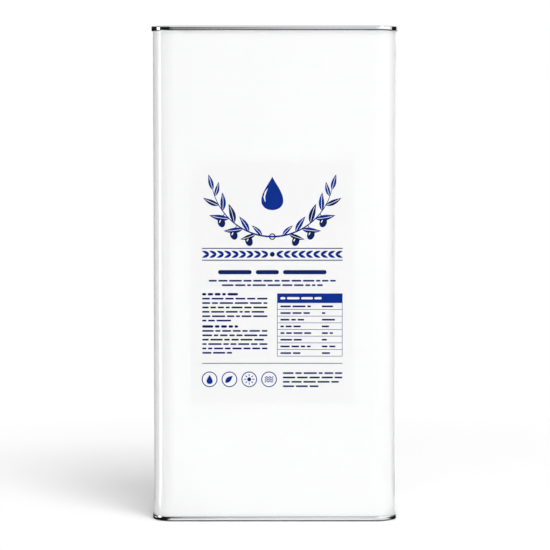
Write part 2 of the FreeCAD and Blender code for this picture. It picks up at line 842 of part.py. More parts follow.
def make_handle_grip():
    """The moulded sleeve on the cross bar, with rounded ends."""
    body = new_body("handle_grip")
    sketch = new_sketch(body, "grip_outline", "XZ_Plane", lift=-grip_length / 2)
    draw(sketch, rounded_rectangle(size("grip_width") / 2, size("grip_thickness") / 2,
                                   size("grip_edge_radius"), -bail_reach, pivot_level))
    draw_circle(sketch, -bail_reach, pivot_level, size("bail_wire_radius") + size("grip_bore_gap"))
    sleeve = pad(body, sketch, "grip_sleeve", grip_length)
    doc.recompute()
    at_end = []
    for number, edge in enumerate(sleeve.Shape.Edges, start=1):
        is_bore = isinstance(edge.Curve, Part.Circle) and len(edge.Vertexes) == 1
        is_along = edge.BoundBox.YLength > edge.BoundBox.XLength + edge.BoundBox.ZLength
        if not is_bore and not is_along:
            at_end.append(f"Edge{number}")
    rounding = body.newObject("PartDesign::Fillet", "grip_end_rounding")
    rounding.Base = (sleeve, at_end)
    rounding.setExpression("Radius", size("grip_end_radius").formula)


def make_handle_ear(label, middle):
    """A strap welded on the panel round one pin of the bail."""
    body = new_body(label)
    width = size("ear_width")
    sketch = new_sketch(body, f"{label}_outline", "XZ_Plane", lift=-middle - width / 2)
    tunnel = size("bail_wire_radius") + size("pin_clearance")
    draw(sketch, strap_moves(as_length(0), panel_level, pivot_level, tunnel,
                             size("ear_sheet"), size("ear_foot")))
    pad(body, sketch, f"{label}_strap", width)


def check_and_write():
    """Refuses a failed object or a bad shape, then writes each sub-part under its own name."""
    doc.recompute()
    for item in doc.Objects:
        if "Invalid" in item.State or "Error" in item.State:
            raise RuntimeError(f"{item.Name} failed to build: {item.State}")
    for item in sub_parts:
        if item.Shape.isNull() or not item.Shape.isValid() or len(item.Shape.Solids) != 1:
            raise RuntimeError(f"{item.Label} is not one sound solid")
    os.makedirs("parts", exist_ok=True)
    for item in sub_parts:
        item.Shape.exportStep(f"parts/{item.Label}.step")
        print(f"{item.Label}: {item.Shape.Volume:.1f} cubic millimetres")


ear_middle = bail_half_span + size("pin_bend_radius") + size("ear_side_gap") + size("ear_width") / 2
make_tin_body()
make_top_end()
make_bottom_end()
make_seam_compound("top_seam_compound", at_top)
make_seam_compound("bottom_seam_compound", at_bottom)
make_front_label()
make_spout_base()
make_spout_gasket()
make_spout_wiper()
make_crimp_ring()
make_spout_nozzle()
make_screw_cap()
make_cap_liner()
make_cap_ring_bridge()
make_cap_pull_ring()
make_handle_bail()
make_handle_grip()
make_handle_ear("handle_ear_front", -ear_middle)
make_handle_ear("handle_ear_back", ear_middle)
check_and_write()
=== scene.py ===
"""Dresses the CAD frame of an oil tin: finishes, sticker print, fine parts and a small studio."""

import json
import math
import random

import bmesh
import bpy
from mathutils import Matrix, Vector

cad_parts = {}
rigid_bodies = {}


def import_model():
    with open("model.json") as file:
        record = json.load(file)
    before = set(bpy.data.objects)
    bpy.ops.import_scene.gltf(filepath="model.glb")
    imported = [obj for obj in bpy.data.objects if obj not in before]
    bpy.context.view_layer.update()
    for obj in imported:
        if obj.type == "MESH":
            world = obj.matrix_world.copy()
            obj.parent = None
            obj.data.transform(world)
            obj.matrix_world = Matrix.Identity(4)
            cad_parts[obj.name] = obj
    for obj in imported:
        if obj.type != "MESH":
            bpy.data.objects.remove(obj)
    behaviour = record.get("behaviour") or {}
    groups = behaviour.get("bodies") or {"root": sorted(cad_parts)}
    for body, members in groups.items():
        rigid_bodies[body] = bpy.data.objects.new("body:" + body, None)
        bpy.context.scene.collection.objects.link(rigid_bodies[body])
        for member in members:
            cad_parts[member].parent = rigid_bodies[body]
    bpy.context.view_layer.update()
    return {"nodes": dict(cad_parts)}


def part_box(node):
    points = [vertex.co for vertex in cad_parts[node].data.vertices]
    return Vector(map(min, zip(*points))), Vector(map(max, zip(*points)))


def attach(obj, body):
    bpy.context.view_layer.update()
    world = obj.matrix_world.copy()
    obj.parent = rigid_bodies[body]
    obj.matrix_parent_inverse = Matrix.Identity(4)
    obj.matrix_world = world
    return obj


bl_info = {
    "name": "Oil Tin Dresser",
    "version": (1, 0, 0),
    "blender": (4, 5, 0),
    "location": "View3D > Sidebar > Oil Tin",
    "description": "Finishes, sticker print and fine parts for a seamed oil tin with a pouring spout",
    "category": "Object",
}

for leftover in list(bpy.data.objects):
    bpy.data.objects.remove(leftover)
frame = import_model()

MM = 0.001
FULL_TURN = 2 * math.pi
WHITE = 1.0
CORNER_RADIUS = 13.0 * MM
RIM_RADIUS = 14.0 * MM
RIM_HEIGHT = 3.2 * MM


def middle_of(node):
    """The middle of a solid's box."""
    low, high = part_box(node)
    return (low + high) / 2


def colour_property(name, description, default):
    """A colour that the user can change."""
    return bpy.props.FloatVectorProperty(
        name=name, description=description, subtype="COLOR", size=3, min=0.0, max=1.0, default=default)


def number_property(name, description, default, **kind):
    """A number that the user can change."""
    return bpy.props.FloatProperty(name=name, description=description, default=default, **kind)


def length_property(name, description, default):
    """A length in metres that the user can change."""
    return number_property(name, description, default, unit="LENGTH", subtype="DISTANCE", precision=5)


def share_property(name, description, default):
    """A share between nothing and all that the user can change."""
    return number_property(name, description, default, subtype="FACTOR", min=0.0, max=1.0)


def angle_property(name, description, degrees):
    """An angle that the user can change."""
    return number_property(name, description, math.radians(degrees), unit="ROTATION", subtype="ANGLE")


class OilTinFinishes(bpy.types.PropertyGroup):
    """Colours of the tin's materials."""

    enamel: colour_property("Enamel", "White stoved enamel of the can's wall", (0.88, 0.882, 0.884))
    tinplate: colour_property("Tinplate", "Bare tinplate of the ends and inside", (0.72, 0.725, 0.735))
    sealing: colour_property("Sealing", "Sealing compound, gasket and wiper", (0.16, 0.16, 0.165))
    label: colour_property("Sticker", "Film of the sticker", (0.834, 0.834, 0.838))
    ink: colour_property("Ink", "Blue printing ink of the solid areas", (0.001, 0.027, 0.262))
    dark_ink: colour_property("Dark ink", "Navy printing ink of the fine work", (0.003, 0.015, 0.118))
    spout: colour_property("Spout", "Natural polyethylene of the spout", (0.80, 0.80, 0.77))
    crimp: colour_property("Crimp ring", "Aluminium of the crimped ring", (0.80, 0.805, 0.81))
    cap: colour_property("Cap", "Bright lacquered steel of the cap", (0.70, 0.70, 0.70))
    liner: colour_property("Liner", "Foam of the sealing disc", (0.82, 0.81, 0.77))
    wire: colour_property("Wire", "Galvanised wire of the bail and the pull ring", (0.56, 0.57, 0.585))
    grip: colour_property("Grip", "Moulded sleeve of the handle", (0.80, 0.80, 0.785))
    ear: colour_property("Ears", "Bent strip of the handle's ears", (0.50, 0.505, 0.515))


class OilTinPrint(bpy.types.PropertyGroup):
    """Sizes of the sticker's print."""

    margin: length_property("Margin", "Clear edge round the print", 7.0 * MM)
    ink_height: length_property("Ink height", "Thickness of the ink on the sticker", 0.05 * MM)
    text_height: length_property("Text height", "Height of a line of small print", 1.05 * MM)
    line_pitch: length_property("Line pitch", "From one line of small print to the next", 2.75 * MM)
    column_gap: length_property("Column gap", "Distance between the two columns", 6.0 * MM)
    leaf_length: length_property("Leaf length", "Length of the longest leaf of the sprigs", 12.5 * MM)
    leaf_width: length_property("Leaf width", "Width of the longest leaf of the sprigs", 3.7 * MM)
    olive_length: length_property("Olive length", "Length of an olive of the sprigs", 6.2 * MM)
    mark_radius: length_property("Mark radius", "Radius of the small round marks at the foot", 4.6 * MM)
    seed: bpy.props.IntProperty(
        name="Seed", description="Fixes the lengths of the printed words", default=11)


class OilTinThread(bpy.types.PropertyGroup):
    """Sizes of the screw thread between the nozzle and the cap."""

    lead: length_property("Lead", "Rise of the thread in one turn", 4.2 * MM)
    start: length_property("Start", "Height of the nozzle's thread at its lower end", 294.6 * MM)
    root_width: length_property("Root width", "Width of the thread at its root", 1.7 * MM)
    crest_width: length_property("Crest width", "Width of the thread at its crest", 0.7 * MM)
    nozzle_root: length_property("Nozzle root", "Radius of the nozzle under its thread", 14.0 * MM)
    nozzle_crest: length_property("Nozzle crest", "Radius of the nozzle's thread", 15.4 * MM)
    nozzle_turns: number_property("Nozzle turns", "Turns of the nozzle's thread", 1.43)
    cap_root: length_property("Cap root", "Radius of the skirt outside the cap's thread", 17.05 * MM)
    cap_crest: length_property("Cap crest", "Radius of the cap's thread", 15.1 * MM)
    cap_turns: number_property("Cap turns", "Turns of the cap's thread", 1.85)
    cap_offset: number_property("Cap offset", "Turns from the nozzle's start to the cap's", 0.45)


class OilTinTrim(bpy.types.PropertyGroup):
    """Sizes of the fine parts on the handle and the cap."""

    rib_pitch: length_property("Rib pitch", "Distance from one rib of the grip to the next", 5.0 * MM)
    rib_width: length_property("Rib width", "Width of a rib of the grip", 1.6 * MM)
    rib_height: length_property("Rib height", "Height of a rib of the grip", 0.3 * MM)
    rib_share: share_property("Rib share", "Share of the grip's length that has ribs", 0.8)
    weld_radius: length_property("Weld radius", "Radius of a spot weld on an ear's foot", 1.5 * MM)
    weld_height: length_property("Weld height", "Height of a spot weld's rim", 0.1 * MM)


class OilTinStage(bpy.types.PropertyGroup):
    """The camera, the lamps and the studio round the tin."""

    camera_distance: length_property("Camera distance", "From the camera to the sticker's wall", 1.450)
    camera_height: length_property("Camera height", "Height of the camera above the floor", 0.250)
    camera_side: length_property("Camera side", "Sideways place of the camera", 0.00028)
    aim_height: length_property("Aim height", "Height at the middle of the picture", 0.15506)
    lens: number_property("Lens", "Focal length on a 36 mm sensor", 152.5, unit="CAMERA")
    sky: share_property("Sky", "Strength of the even light from all round", 0.64)
    lamp_power: number_property("Lamp power", "Power of the main lamp", 84.0, unit="POWER")
    lamp_side: angle_property("Lamp side", "Angle of the lamp to the right of the camera", 28.0)
    lamp_rise: angle_property("Lamp rise", "Angle of the lamp above the floor", 65.0)
    lamp_distance: length_property("Lamp distance", "From the lamp to the tin", 4.4)
    lamp_size: length_property("Lamp size", "Width of the lamp", 1.3)
    lamp_length: length_property("Lamp length", "Height of the lamp", 2.8)
    glint: number_property("Glint", "Strength of the lamp's reflection", 5.0)
    glint_side: angle_property("Glint side", "Angle of the glint to the right of the camera", 44.0)
    fill_power: number_property("Fill power", "Power of the lamp above the camera", 13.0, unit="POWER")
    fill_distance: length_property("Fill distance", "From the soft lamp to the tin", 3.4)
    fill_rise: angle_property("Fill rise", "Angle of the soft lamp above the floor", 14.0)
    fill_size: length_property("Fill size", "Width of the soft lamp", 1.6)
    floor: colour_property("Floor", "Pale floor round the tin", (0.97, 0.97, 0.97))
    floor_fade_start: length_property("Fade start", "Where the floor starts to turn white", 0.26)
    floor_fade_end: length_property("Fade end", "Where the floor has turned white", 0.52)
    # The dark tone also colours the cards that paint shade into the seams' reflections
    dark: share_property("Dark", "Tone of the dark panels", 0.012)
    grey: share_property("Grey", "Tone of the front panel at its left end", 0.18)
    pale: share_property("Pale", "Tone of the front panel at its right end", 0.82)
    # Bright and Strip drive panels that glow only in reflections and light nothing: a painted reflection
    # and a painted highlight
    bright: number_property("Bright", "Strength of the soft box on the right", 1.45)
    strip: number_property("Strip", "Strength of the bright strip on the left", 5.5)
    front_top: length_property("Front top", "Height of the front panel", 0.95)
    overhead: share_property("Overhead", "Tone of the ceiling right above the tin", 0.55)


def settings_of(context):
    """All groups of settings of the scene, by name."""
    scene = context.scene
    return {
        "finishes": scene.oil_tin_finishes,
        "print": scene.oil_tin_print,
        "thread": scene.oil_tin_thread,
        "trim": scene.oil_tin_trim,
        "stage": scene.oil_tin_stage,
    }


class NodeTree:
    """The nodes of a material or of the world, with short ways to add more."""

    def __init__(self, owner):
        owner.use_nodes = True
        self.nodes = owner.node_tree.nodes
        self.links = owner.node_tree.links

    def node(self, kind, inputs=(), **options):
        """Adds a node. Inputs hold values or the outputs of other nodes, by place or by name."""
        made = self.nodes.new(kind)
        for name, value in options.items():
            setattr(made, name, value)
        pairs = inputs.items() if isinstance(inputs, dict) else enumerate(inputs)
        for place, value in pairs:
            if isinstance(value, bpy.types.NodeSocket):
                self.links.new(value, made.inputs[place])
            elif value is not None:
                made.inputs[place].default_value = value
        return made

    def math(self, operation, *inputs):
        """A sum on numbers."""
        return self.node("ShaderNodeMath", inputs, operation=operation).outputs[0]

    def place(self):
        """The place on the solid, in metres."""
        return self.node("ShaderNodeTexCoord").outputs["Object"]

    def parts(self, vector):
        """The three parts of a place or a direction."""
        return self.node("ShaderNodeSeparateXYZ", (vector,)).outputs

    def spread(self, source, low, high, from_low=0.3, from_high=0.7):
        """Spreads a pattern smoothly over a range of values."""
        inputs = (source, from_low, from_high, low, high)
        return self.node("ShaderNodeMapRange", inputs, interpolation_type="SMOOTHSTEP").outputs[0]


class Finish(NodeTree):
    """One material of the tin: a glossy shader and the procedural nodes that feed it."""

    def __init__(self, name, colour, roughness, metallic=0.0):
        self.material = bpy.data.materials.new(name)
        super().__init__(self.material)
        self.shader = self.nodes["Principled BSDF"]
        self.colour = tuple(colour)
        self.set("Base Color", (*self.colour, 1.0))
        self.set("Roughness", roughness)
        self.set("Metallic", metallic)

    def set(self, socket, value):
        """Sets a value that is the same all over."""
        self.shader.inputs[socket].default_value = value

    def feed(self, socket, source):
        """Lets a pattern drive one of the shader's sockets."""
        self.links.new(source, self.shader.inputs[socket])

    def stretched(self, *scale):
        """The place on the solid with its axes stretched."""
        return self.node("ShaderNodeMapping", {"Vector": self.place(), "Scale": scale}).outputs[0]

    def turned(self, axis, scale):
        """Rings about an upright axis, for marks left by turning and rolling."""
        parts = self.parts(self.place())
        across = self.math("SUBTRACT", parts[0], axis.x)
        along = self.math("SUBTRACT", parts[1], axis.y)
        squared = self.math("ADD", self.math("POWER", across, 2.0), self.math("POWER", along, 2.0))
        rings = self.math("MULTIPLY", self.math("SQRT", squared), scale)
        rises = self.math("MULTIPLY", parts[2], scale)
        return self.node("ShaderNodeCombineXYZ", (rings, rises, 0.0)).outputs[0]

    def noise(self, vector, scale=1.0, detail=3.0, share=0.5):
        """Soft random cloud, from nothing to one."""
        inputs = {"Vector": vector, "Scale": scale, "Detail": detail, "Roughness": share}
        return self.node("ShaderNodeTexNoise", inputs).outputs["Fac"]

    def cells(self, vector, scale, **options):
        """Small cells side by side."""
        return self.node("ShaderNodeTexVoronoi", {"Vector": vector, "Scale": scale}, **options).outputs

    def blend(self, share, first, second):
        """A colour between two others."""
        share_place, first_place, second_place, colour_result = 0, 6, 7, 2
        inputs = {share_place: share}
        for place, colour in ((first_place, first), (second_place, second)):
            inputs[place] = colour if isinstance(colour, bpy.types.NodeSocket) else (*colour, 1.0)
        return self.node("ShaderNodeMix", inputs, data_type="RGBA").outputs[colour_result]

    def tone(self, share, change):
        """The finish's own colour, lightened and darkened a little by a pattern."""
        darker = [channel * (1.0 - change) for channel in self.colour]
        lighter = [min(channel * (1.0 + change), 1.0) for channel in self.colour]
        return self.blend(share, darker, lighter)

    def relief(self, *layers):
        """Fine relief from (pattern, height in metres) layers."""
        before = None
        for pattern, height in layers:
            inputs = {"Distance": height, "Height": pattern, "Normal": before}
            before = self.node("ShaderNodeBump", inputs).outputs[0]
        self.feed("Normal", before)


def make_enamel(finishes):
    """Gloss enamel outside, with a bare strip beside the weld and bare tinplate inside the can."""
    strip_edge, strip_end, raggedness = 4.7 * MM, 5.1 * MM, 0.2 * MM
    back_start, back_end = 2.0 * MM, 1.5 * MM
    ripple, grain = 0.10 * MM, 0.004 * MM
    worn_metal, bare_dullness = 0.86, 0.28
    finish = Finish("white_enamel", finishes.enamel, roughness=0.14)
    place = finish.place()
    parts = finish.parts(place)
    normal = finish.parts(finish.node("ShaderNodeNewGeometry").outputs["Normal"])
    outward = finish.math("ADD", finish.math("MULTIPLY", parts[0], normal[0]),
                          finish.math("MULTIPLY", parts[1], normal[1]))
    inside = finish.math("LESS_THAN", outward, 0.0)
    ragged = finish.spread(finish.noise(finish.stretched(0.0, 0.0, 90.0)), -raggedness, raggedness)
    off_weld = finish.math("ADD", finish.math("ABSOLUTE", parts[0]), ragged)
    strip = finish.spread(off_weld, 1.0, 0.0, strip_edge, strip_end)
    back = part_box("tin_body")[1].y
    at_back = finish.spread(parts[1], 0.0, 1.0, back - back_start, back - back_end)
    bare = finish.math("MAXIMUM", inside, finish.math("MULTIPLY", strip, at_back))
    cloud = finish.noise(place, scale=26.0, detail=4.0)
    streaks = finish.noise(finish.stretched(14.0, 14.0, 1200.0), detail=4.0)
    painted = finish.tone(cloud, change=0.008)
    worn = [worn_metal * channel for channel in finishes.tinplate]
    metal = finish.blend(streaks, worn, finishes.tinplate)
    finish.feed("Base Color", finish.blend(bare, painted, metal))
    finish.feed("Metallic", bare)
    gloss = finish.spread(cloud, 0.11, 0.18)
    finish.feed("Roughness", finish.math("ADD", gloss, finish.math("MULTIPLY", bare, bare_dullness)))
    finish.relief((finish.noise(finish.stretched(1.0, 1.0, 0.6), scale=13.0, detail=1.0), ripple),
                  (finish.noise(place, scale=620.0, detail=2.0), grain))
    return finish.material


def off_rims(finish, place):
    """How far a place is from the middle of the nearer rim, as a share of half a rim and up to one."""
    level = finish.parts(place)[2]
    half_rim = RIM_HEIGHT / 2
    off_top = finish.math("ABSOLUTE", finish.math("SUBTRACT", level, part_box("top_end")[1].z - half_rim))
    off_bottom = finish.math("ABSOLUTE", finish.math("SUBTRACT", level, half_rim))
    share = finish.math("DIVIDE", finish.math("MINIMUM", off_top, off_bottom), half_rim)
    return finish.math("MINIMUM", share, 1.0)


def make_tinplate(name, colour, roughness, crowned):
    """Bare tinplate with rolling lines, bloom and scratches, and burnished, crowned rims if asked."""
    rolled, grain, crown_height = 0.0016 * MM, 0.004 * MM, 0.2 * MM
    scratch_dullness, burnish = 0.10, 0.06
    finish = Finish(name, colour, roughness, metallic=1.0)
    place = finish.place()
    lines = finish.noise(finish.stretched(18.0, 1500.0, 1500.0), detail=4.0, share=0.6)
    bloom = finish.noise(place, scale=70.0, detail=4.0)
    scratches = finish.noise(finish.stretched(260.0, 2600.0, 420.0), detail=5.0, share=0.7)
    finish.feed("Base Color", finish.tone(finish.math("MULTIPLY", lines, bloom), change=0.07))
    soft = finish.spread(bloom, roughness - 0.04, roughness + 0.04)
    marked = finish.spread(scratches, 0.0, scratch_dullness, from_low=0.58, from_high=0.72)
    dull = finish.math("ADD", soft, marked)
    layers = [(lines, rolled), (finish.noise(place, scale=240.0, detail=2.0), grain)]
    if crowned:
        off = off_rims(finish, place)
        crown = finish.math("SUBTRACT", 1.0, finish.math("POWER", off, 2.0))
        layers.insert(0, (crown, crown_height))
        on_rim = finish.math("LESS_THAN", off, 1.0)
        dull = finish.math("SUBTRACT", dull, finish.math("MULTIPLY", on_rim, burnish))
    finish.feed("Roughness", dull)
    finish.relief(*layers)
    return finish.material


def make_sealing(finishes):
    """Grey rubbery compound with a dull skin."""
    skin = 0.02 * MM
    finish = Finish("seal_rubber", finishes.sealing, roughness=0.6)
    grain = finish.noise(finish.place(), scale=1400.0, detail=4.0)
    finish.feed("Base Color", finish.tone(grain, change=0.15))
    finish.feed("Roughness", finish.spread(grain, 0.5, 0.72))
    finish.relief((grain, skin))
    return finish.material


def make_label_film(finishes):
    """Satin white film of the sticker."""
    ripple, weave = 0.02 * MM, 0.003 * MM
    finish = Finish("label_film", finishes.label, roughness=0.42)
    place = finish.place()
    fibre = finish.noise(finish.stretched(900.0, 900.0, 2600.0), detail=4.0)
    finish.feed("Base Color", finish.tone(finish.noise(place, scale=45.0), change=0.006))
    finish.feed("Roughness", finish.spread(fibre, 0.36, 0.48))
    finish.relief((finish.noise(place, scale=30.0, detail=1.0), ripple), (fibre, weave))
    return finish.material


def make_ink(name, colour):
    """Printing ink, laid down a little unevenly."""
    dots = 0.002 * MM
    finish = Finish(name, colour, roughness=0.36)
    finish.set("Specular IOR Level", 0.05)
    screen = finish.noise(finish.place(), scale=2400.0)
    lay = finish.noise(finish.stretched(160.0, 160.0, 60.0))
    finish.feed("Base Color", finish.tone(finish.math("MULTIPLY", screen, lay), change=0.16))
    finish.feed("Roughness", finish.spread(screen, 0.3, 0.44))
    finish.relief((screen, dots))
    return finish.material


def make_moulded(name, colour, roughness):
    """Milky moulded plastic with a fine mould texture and faint flow lines."""
    waves, texture = 0.01 * MM, 0.006 * MM
    finish = Finish(name, colour, roughness)
    finish.set("Subsurface Weight", 0.12)
    finish.set("Subsurface Radius", (1.4 * MM, 1.3 * MM, 1.1 * MM))
    finish.set("Subsurface Scale", 1.0)
    mould = finish.noise(finish.place(), scale=2200.0)
    flow = finish.noise(finish.stretched(120.0, 120.0, 30.0), detail=4.0)
    finish.feed("Base Color", finish.tone(flow, change=0.025))
    finish.feed("Roughness", finish.spread(mould, roughness - 0.07, roughness + 0.09))
    finish.relief((flow, waves), (mould, texture))
    return finish.material


def make_turned_metal(name, colour, axis, roughness):
    """Drawn and rolled metal with rings about the spout's axis."""
    tool_marks, ripple = 0.0015 * MM, 0.008 * MM
    finish = Finish(name, colour, roughness, metallic=1.0)
    rings = finish.noise(finish.turned(axis, scale=5200.0))
    bloom = finish.noise(finish.place(), scale=160.0, detail=4.0)
    finish.feed("Base Color", finish.tone(finish.math("MULTIPLY", rings, bloom), change=0.08))
    soft = finish.spread(bloom, roughness - 0.05, roughness + 0.06)
    finish.feed("Roughness", finish.math("ADD", soft, finish.spread(rings, 0.0, 0.06)))
    finish.relief((rings, tool_marks), (bloom, ripple))
    return finish.material


def make_liner_foam(finishes):
    """Closed-cell foam with small pores."""
    pore_depth = 0.05 * MM
    finish = Finish("liner_foam", finishes.liner, roughness=0.75)
    pores = finish.cells(finish.place(), scale=2600.0)["Distance"]
    finish.feed("Base Color", finish.tone(pores, change=0.05))
    finish.feed("Roughness", finish.spread(pores, 0.68, 0.82, from_low=0.0, from_high=0.6))
    finish.relief((pores, pore_depth))
    return finish.material


def make_wire(finishes):
    """Galvanised wire: dull patches of zinc under a fine skin."""
    grain, bumps = 0.008 * MM, 0.015 * MM
    finish = Finish("wire_steel", finishes.wire, roughness=0.36, metallic=1.0)
    place = finish.place()
    patches = finish.cells(place, scale=620.0, feature="SMOOTH_F1")["Position"]
    zinc = finish.noise(patches, scale=900.0, detail=1.0)
    skin = finish.noise(place, scale=2200.0, detail=4.0)
    finish.feed("Base Color", finish.tone(zinc, change=0.12))
    dull = finish.math("ADD", finish.spread(zinc, 0.28, 0.42), finish.spread(skin, 0.0, 0.08))
    finish.feed("Roughness", dull)
    finish.relief((skin, grain), (finish.noise(place, scale=300.0, detail=2.0), bumps))
    return finish.material


def dress(material, *nodes):
    """Gives solids of the frame a finish."""
    for name in nodes:
        for place in frame["nodes"][name].material_slots:
            place.material = material


def add_piece(name, points, faces, material, body, smooth_degrees=None):
    """Makes a closed mesh piece that moves with a body of the frame."""
    mesh = bpy.data.meshes.new(name)
    mesh.from_pydata([tuple(point) for point in points], [], faces)
    shape = bmesh.new()
    shape.from_mesh(mesh)
    bmesh.ops.recalc_face_normals(shape, faces=shape.faces)
    loose = [edge for edge in shape.edges if len(edge.link_faces) != 2]
    if loose:
        raise RuntimeError(f"{name} is not closed: {len(loose)} open edges")
    shape.to_mesh(mesh)
    shape.free()
    mesh.materials.append(material)
    piece = bpy.data.objects.new(name, mesh)
    bpy.context.scene.collection.objects.link(piece)
    if smooth_degrees is not None:
        mesh.shade_smooth()
        mesh.set_sharp_from_angle(angle=math.radians(smooth_degrees))
    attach(piece, body)


def loops_to_faces(count, around, first=0, closed=True):
    """Quads between loops of points, one loop after the other."""
    faces = []
    for loop in range(count if closed else count - 1):
        here, there = first + loop * around, first + (loop + 1) % count * around
        for step in range(around):
            after = (step + 1) % around
            faces.append([here + step, there + step, there + after, here + after])
    return faces


def turns_of(steps):
    """Even steps round a full turn."""
    return [FULL_TURN * step / steps for step in range(steps)]


def towards(angle):
    """The direction of an angle, on the flat."""
    return Vector((math.cos(angle), math.sin(angle)))


def leaf_line(base, angle, length, bend, steps):
    """The midrib of a leaf."""
    along = towards(angle)
    across = Vector((-along.y, along.x))
    path = []
    for step in range(steps + 1):
        share = step / steps
        path.append(Vector(base) + along * length * share + across * bend * length * share * share)
    return path


def beside(path, widths):
    """Points to the left and to the right of a path, half a width off it."""
    left, right = [], []
    for index, point in enumerate(path):
        before, after = path[max(index - 1, 0)], path[min(index + 1, len(path) - 1)]
        along = (Vector(after) - Vector(before)).normalized()
        across = Vector((-along.y, along.x)) * widths[index] / 2
        left.append(Vector(point) + across)
        right.append(Vector(point) - across)
    return left, right


class Print:
    """Flat printed shapes, drawn in metres across and up from the sticker's lower left corner."""

    def __init__(self):
        self.outlines = []
        self.rings = []

    def outline(self, points):
        """A solid shape."""
        self.outlines.append([Vector(point) for point in points])

    def box(self, left, low, right, high):
        """A solid rectangle."""
        self.outline([(left, low), (right, low), (right, high), (left, high)])

    def word(self, left, right, low, height, steps=6):
        """A bar with round ends that stands for a printed word."""
        radius = height / 2
        points = []
        for centre, start in ((right - radius, -90), (left + radius, 90)):
            for step in range(steps + 1):
                angle = math.radians(start + 180 * step / steps)
                points.append(Vector((centre, low + radius)) + towards(angle) * radius)
        self.outline(points)

    def oval(self, centre, half_length, half_width, angle=0.0, steps=32):
        """An ellipse turned by an angle."""
        along = towards(angle) * half_length
        across = Vector((-math.sin(angle), math.cos(angle))) * half_width
        self.outline([Vector(centre) + along * math.cos(turn) + across * math.sin(turn)
                      for turn in turns_of(steps)])

    def ring(self, centre, radius, line, steps=48):
        """A round line."""
        self.rings.append([[Vector(centre) + towards(turn) * reach for turn in turns_of(steps)]
                           for reach in (radius - line / 2, radius + line / 2)])

    def strip(self, path, widths):
        """A line along a path, with its own width at each point."""
        left, right = beside(path, widths)
        self.outline(right + left[::-1])

    def leaf(self, base, angle, length, width, bend, steps=12):
        """A pointed leaf that leaves its base at an angle and curves by a bend."""
        fullness = 0.8
        path = leaf_line(base, angle, length, bend, steps)
        widths = [width * math.sin(math.pi * (step / steps) ** fullness) for step in range(steps + 1)]
        left, right = beside(path, widths)
        self.outline([path[0]] + right[1:-1] + [path[-1]] + left[-2:0:-1])

    def drop(self, centre, width, height, steps=40):
        """A drop with its point upwards."""
        belly, taper = 0.65, 1.5
        points = []
        for turn in turns_of(steps):
            reach = math.sin(turn) * abs(math.sin(turn / 2)) ** taper
            points.append((centre[0] - width * belly * reach, centre[1] + height / 2 * math.cos(turn)))
        self.outline(points)

    def make(self, name, corner, back, front, material, slot):
        """Turns the shapes into one closed mesh on the sticker."""
        points, faces = [], []

        def lay(loop, depth):
            points.extend((corner.x + point[0], depth, corner.z + point[1]) for point in loop)

        for outline in self.outlines:
            count, first = len(outline), len(points)
            lay(outline, front)
            lay(outline, back)
            faces.append([first + step for step in range(count)])
            faces.append([first + count + step for step in reversed(range(count))])
            faces += loops_to_faces(2, count, first, closed=False)
        for inner, outer in self.rings:
            first = len(points)
            for loop, depth in ((inner, front), (outer, front), (outer, back), (inner, back)):
                lay(loop, depth)
            faces += loops_to_faces(4, len(inner), first)
        add_piece(name, points, faces, material, "tin")


def draw_olive(fine, light, stalk, side, drop, length):
    """An olive that hangs from the stem on a bent stalk, with a glint."""
    aside, sag, stalk_width, fatness = 2.0 * MM, 0.9 * MM, 0.5 * MM, 0.37
    lean, glint_lean = math.radians(90 - side * 18), math.radians(62)
    glint_place = Vector((-0.85 * MM, 0.7 * MM))
    glint_half_length, glint_half_width = 1.0 * MM, 0.32 * MM
    olive = Vector((stalk.x + side * aside, stalk.y - drop))
    bend = (stalk + olive) / 2 + Vector((side * sag, 0.0))
    fine.strip([stalk, bend, olive], [stalk_width] * 3)
    fine.oval(olive, length / 2, length * fatness, lean)
    light.oval(olive + glint_place, glint_half_length, glint_half_width, glint_lean)


def draw_sprig(solid, fine, light, foot, side, settings):
    """One olive sprig that rises from the foot of the crest towards a side (1 is right, -1 left)."""
    reach, rise, steps = 37.0 * MM, 29.0 * MM, 24
    sweep, lift = 1.35, 1.5
    stem_foot, stem_tip, rib_width = 1.1 * MM, 0.35 * MM, 0.28 * MM
    leaf_angle, leaf_bend, leaf_steps = math.radians(44), 0.16, 12
    path = []
    for step in range(steps + 1):
        share = step / steps
        path.append(Vector((foot[0] + side * reach * math.sin(share * sweep) / math.sin(sweep),
                            foot[1] + rise * (1.0 - math.cos(share * lift)) / (1.0 - math.cos(lift)))))
    solid.strip(path, [stem_foot + (stem_tip - stem_foot) * step / steps for step in range(steps + 1)])
    # Each leaf's step on the stem, its side of the stem and its scale
    leaves = [(3, 1, 0.72), (5, -1, 0.80), (7, 1, 0.90), (9, -1, 0.95), (12, 1, 1.0),
              (14, -1, 1.0), (17, 1, 0.92), (19, -1, 0.86), (22, 1, 0.74), (24, 0, 0.82)]
    for number, (step, face, scale) in enumerate(leaves):
        base = path[step]
        along = path[min(step + 1, steps)] - path[step - 1]
        angle = math.atan2(along.y, along.x) + side * face * leaf_angle
        length, width = settings.leaf_length * scale, settings.leaf_width * scale
        bend = -side * face * leaf_bend
        ink = fine if number % 3 == 1 else solid
        ink.leaf(base, angle, length, width, bend, leaf_steps)
        rib = leaf_line(base, angle, length, bend, leaf_steps)[1:-2]
        if not bend:
            rib = [rib[0], rib[-1]]
        light.strip(rib, [rib_width] * len(rib))
    for step, drop in ((6, 5.0 * MM), (11, 6.0 * MM), (16, 5.5 * MM)):
        draw_olive(fine, light, path[step], side, drop, settings.olive_length)


def draw_words(ink, left, right, low, height, rng, share=1.0):
    """One line of printed words, filled up to a share of its width."""
    shortest, longest, least, gap = 2.2 * MM, 8.5 * MM, 2.0 * MM, 0.95 * MM
    end = left + (right - left) * share
    place = left
    while place < end - least:
        stop = min(place + rng.uniform(shortest, longest), end)
        if end - stop < least:
            stop = end
        ink.word(place, stop, low, height)
        place = stop + gap


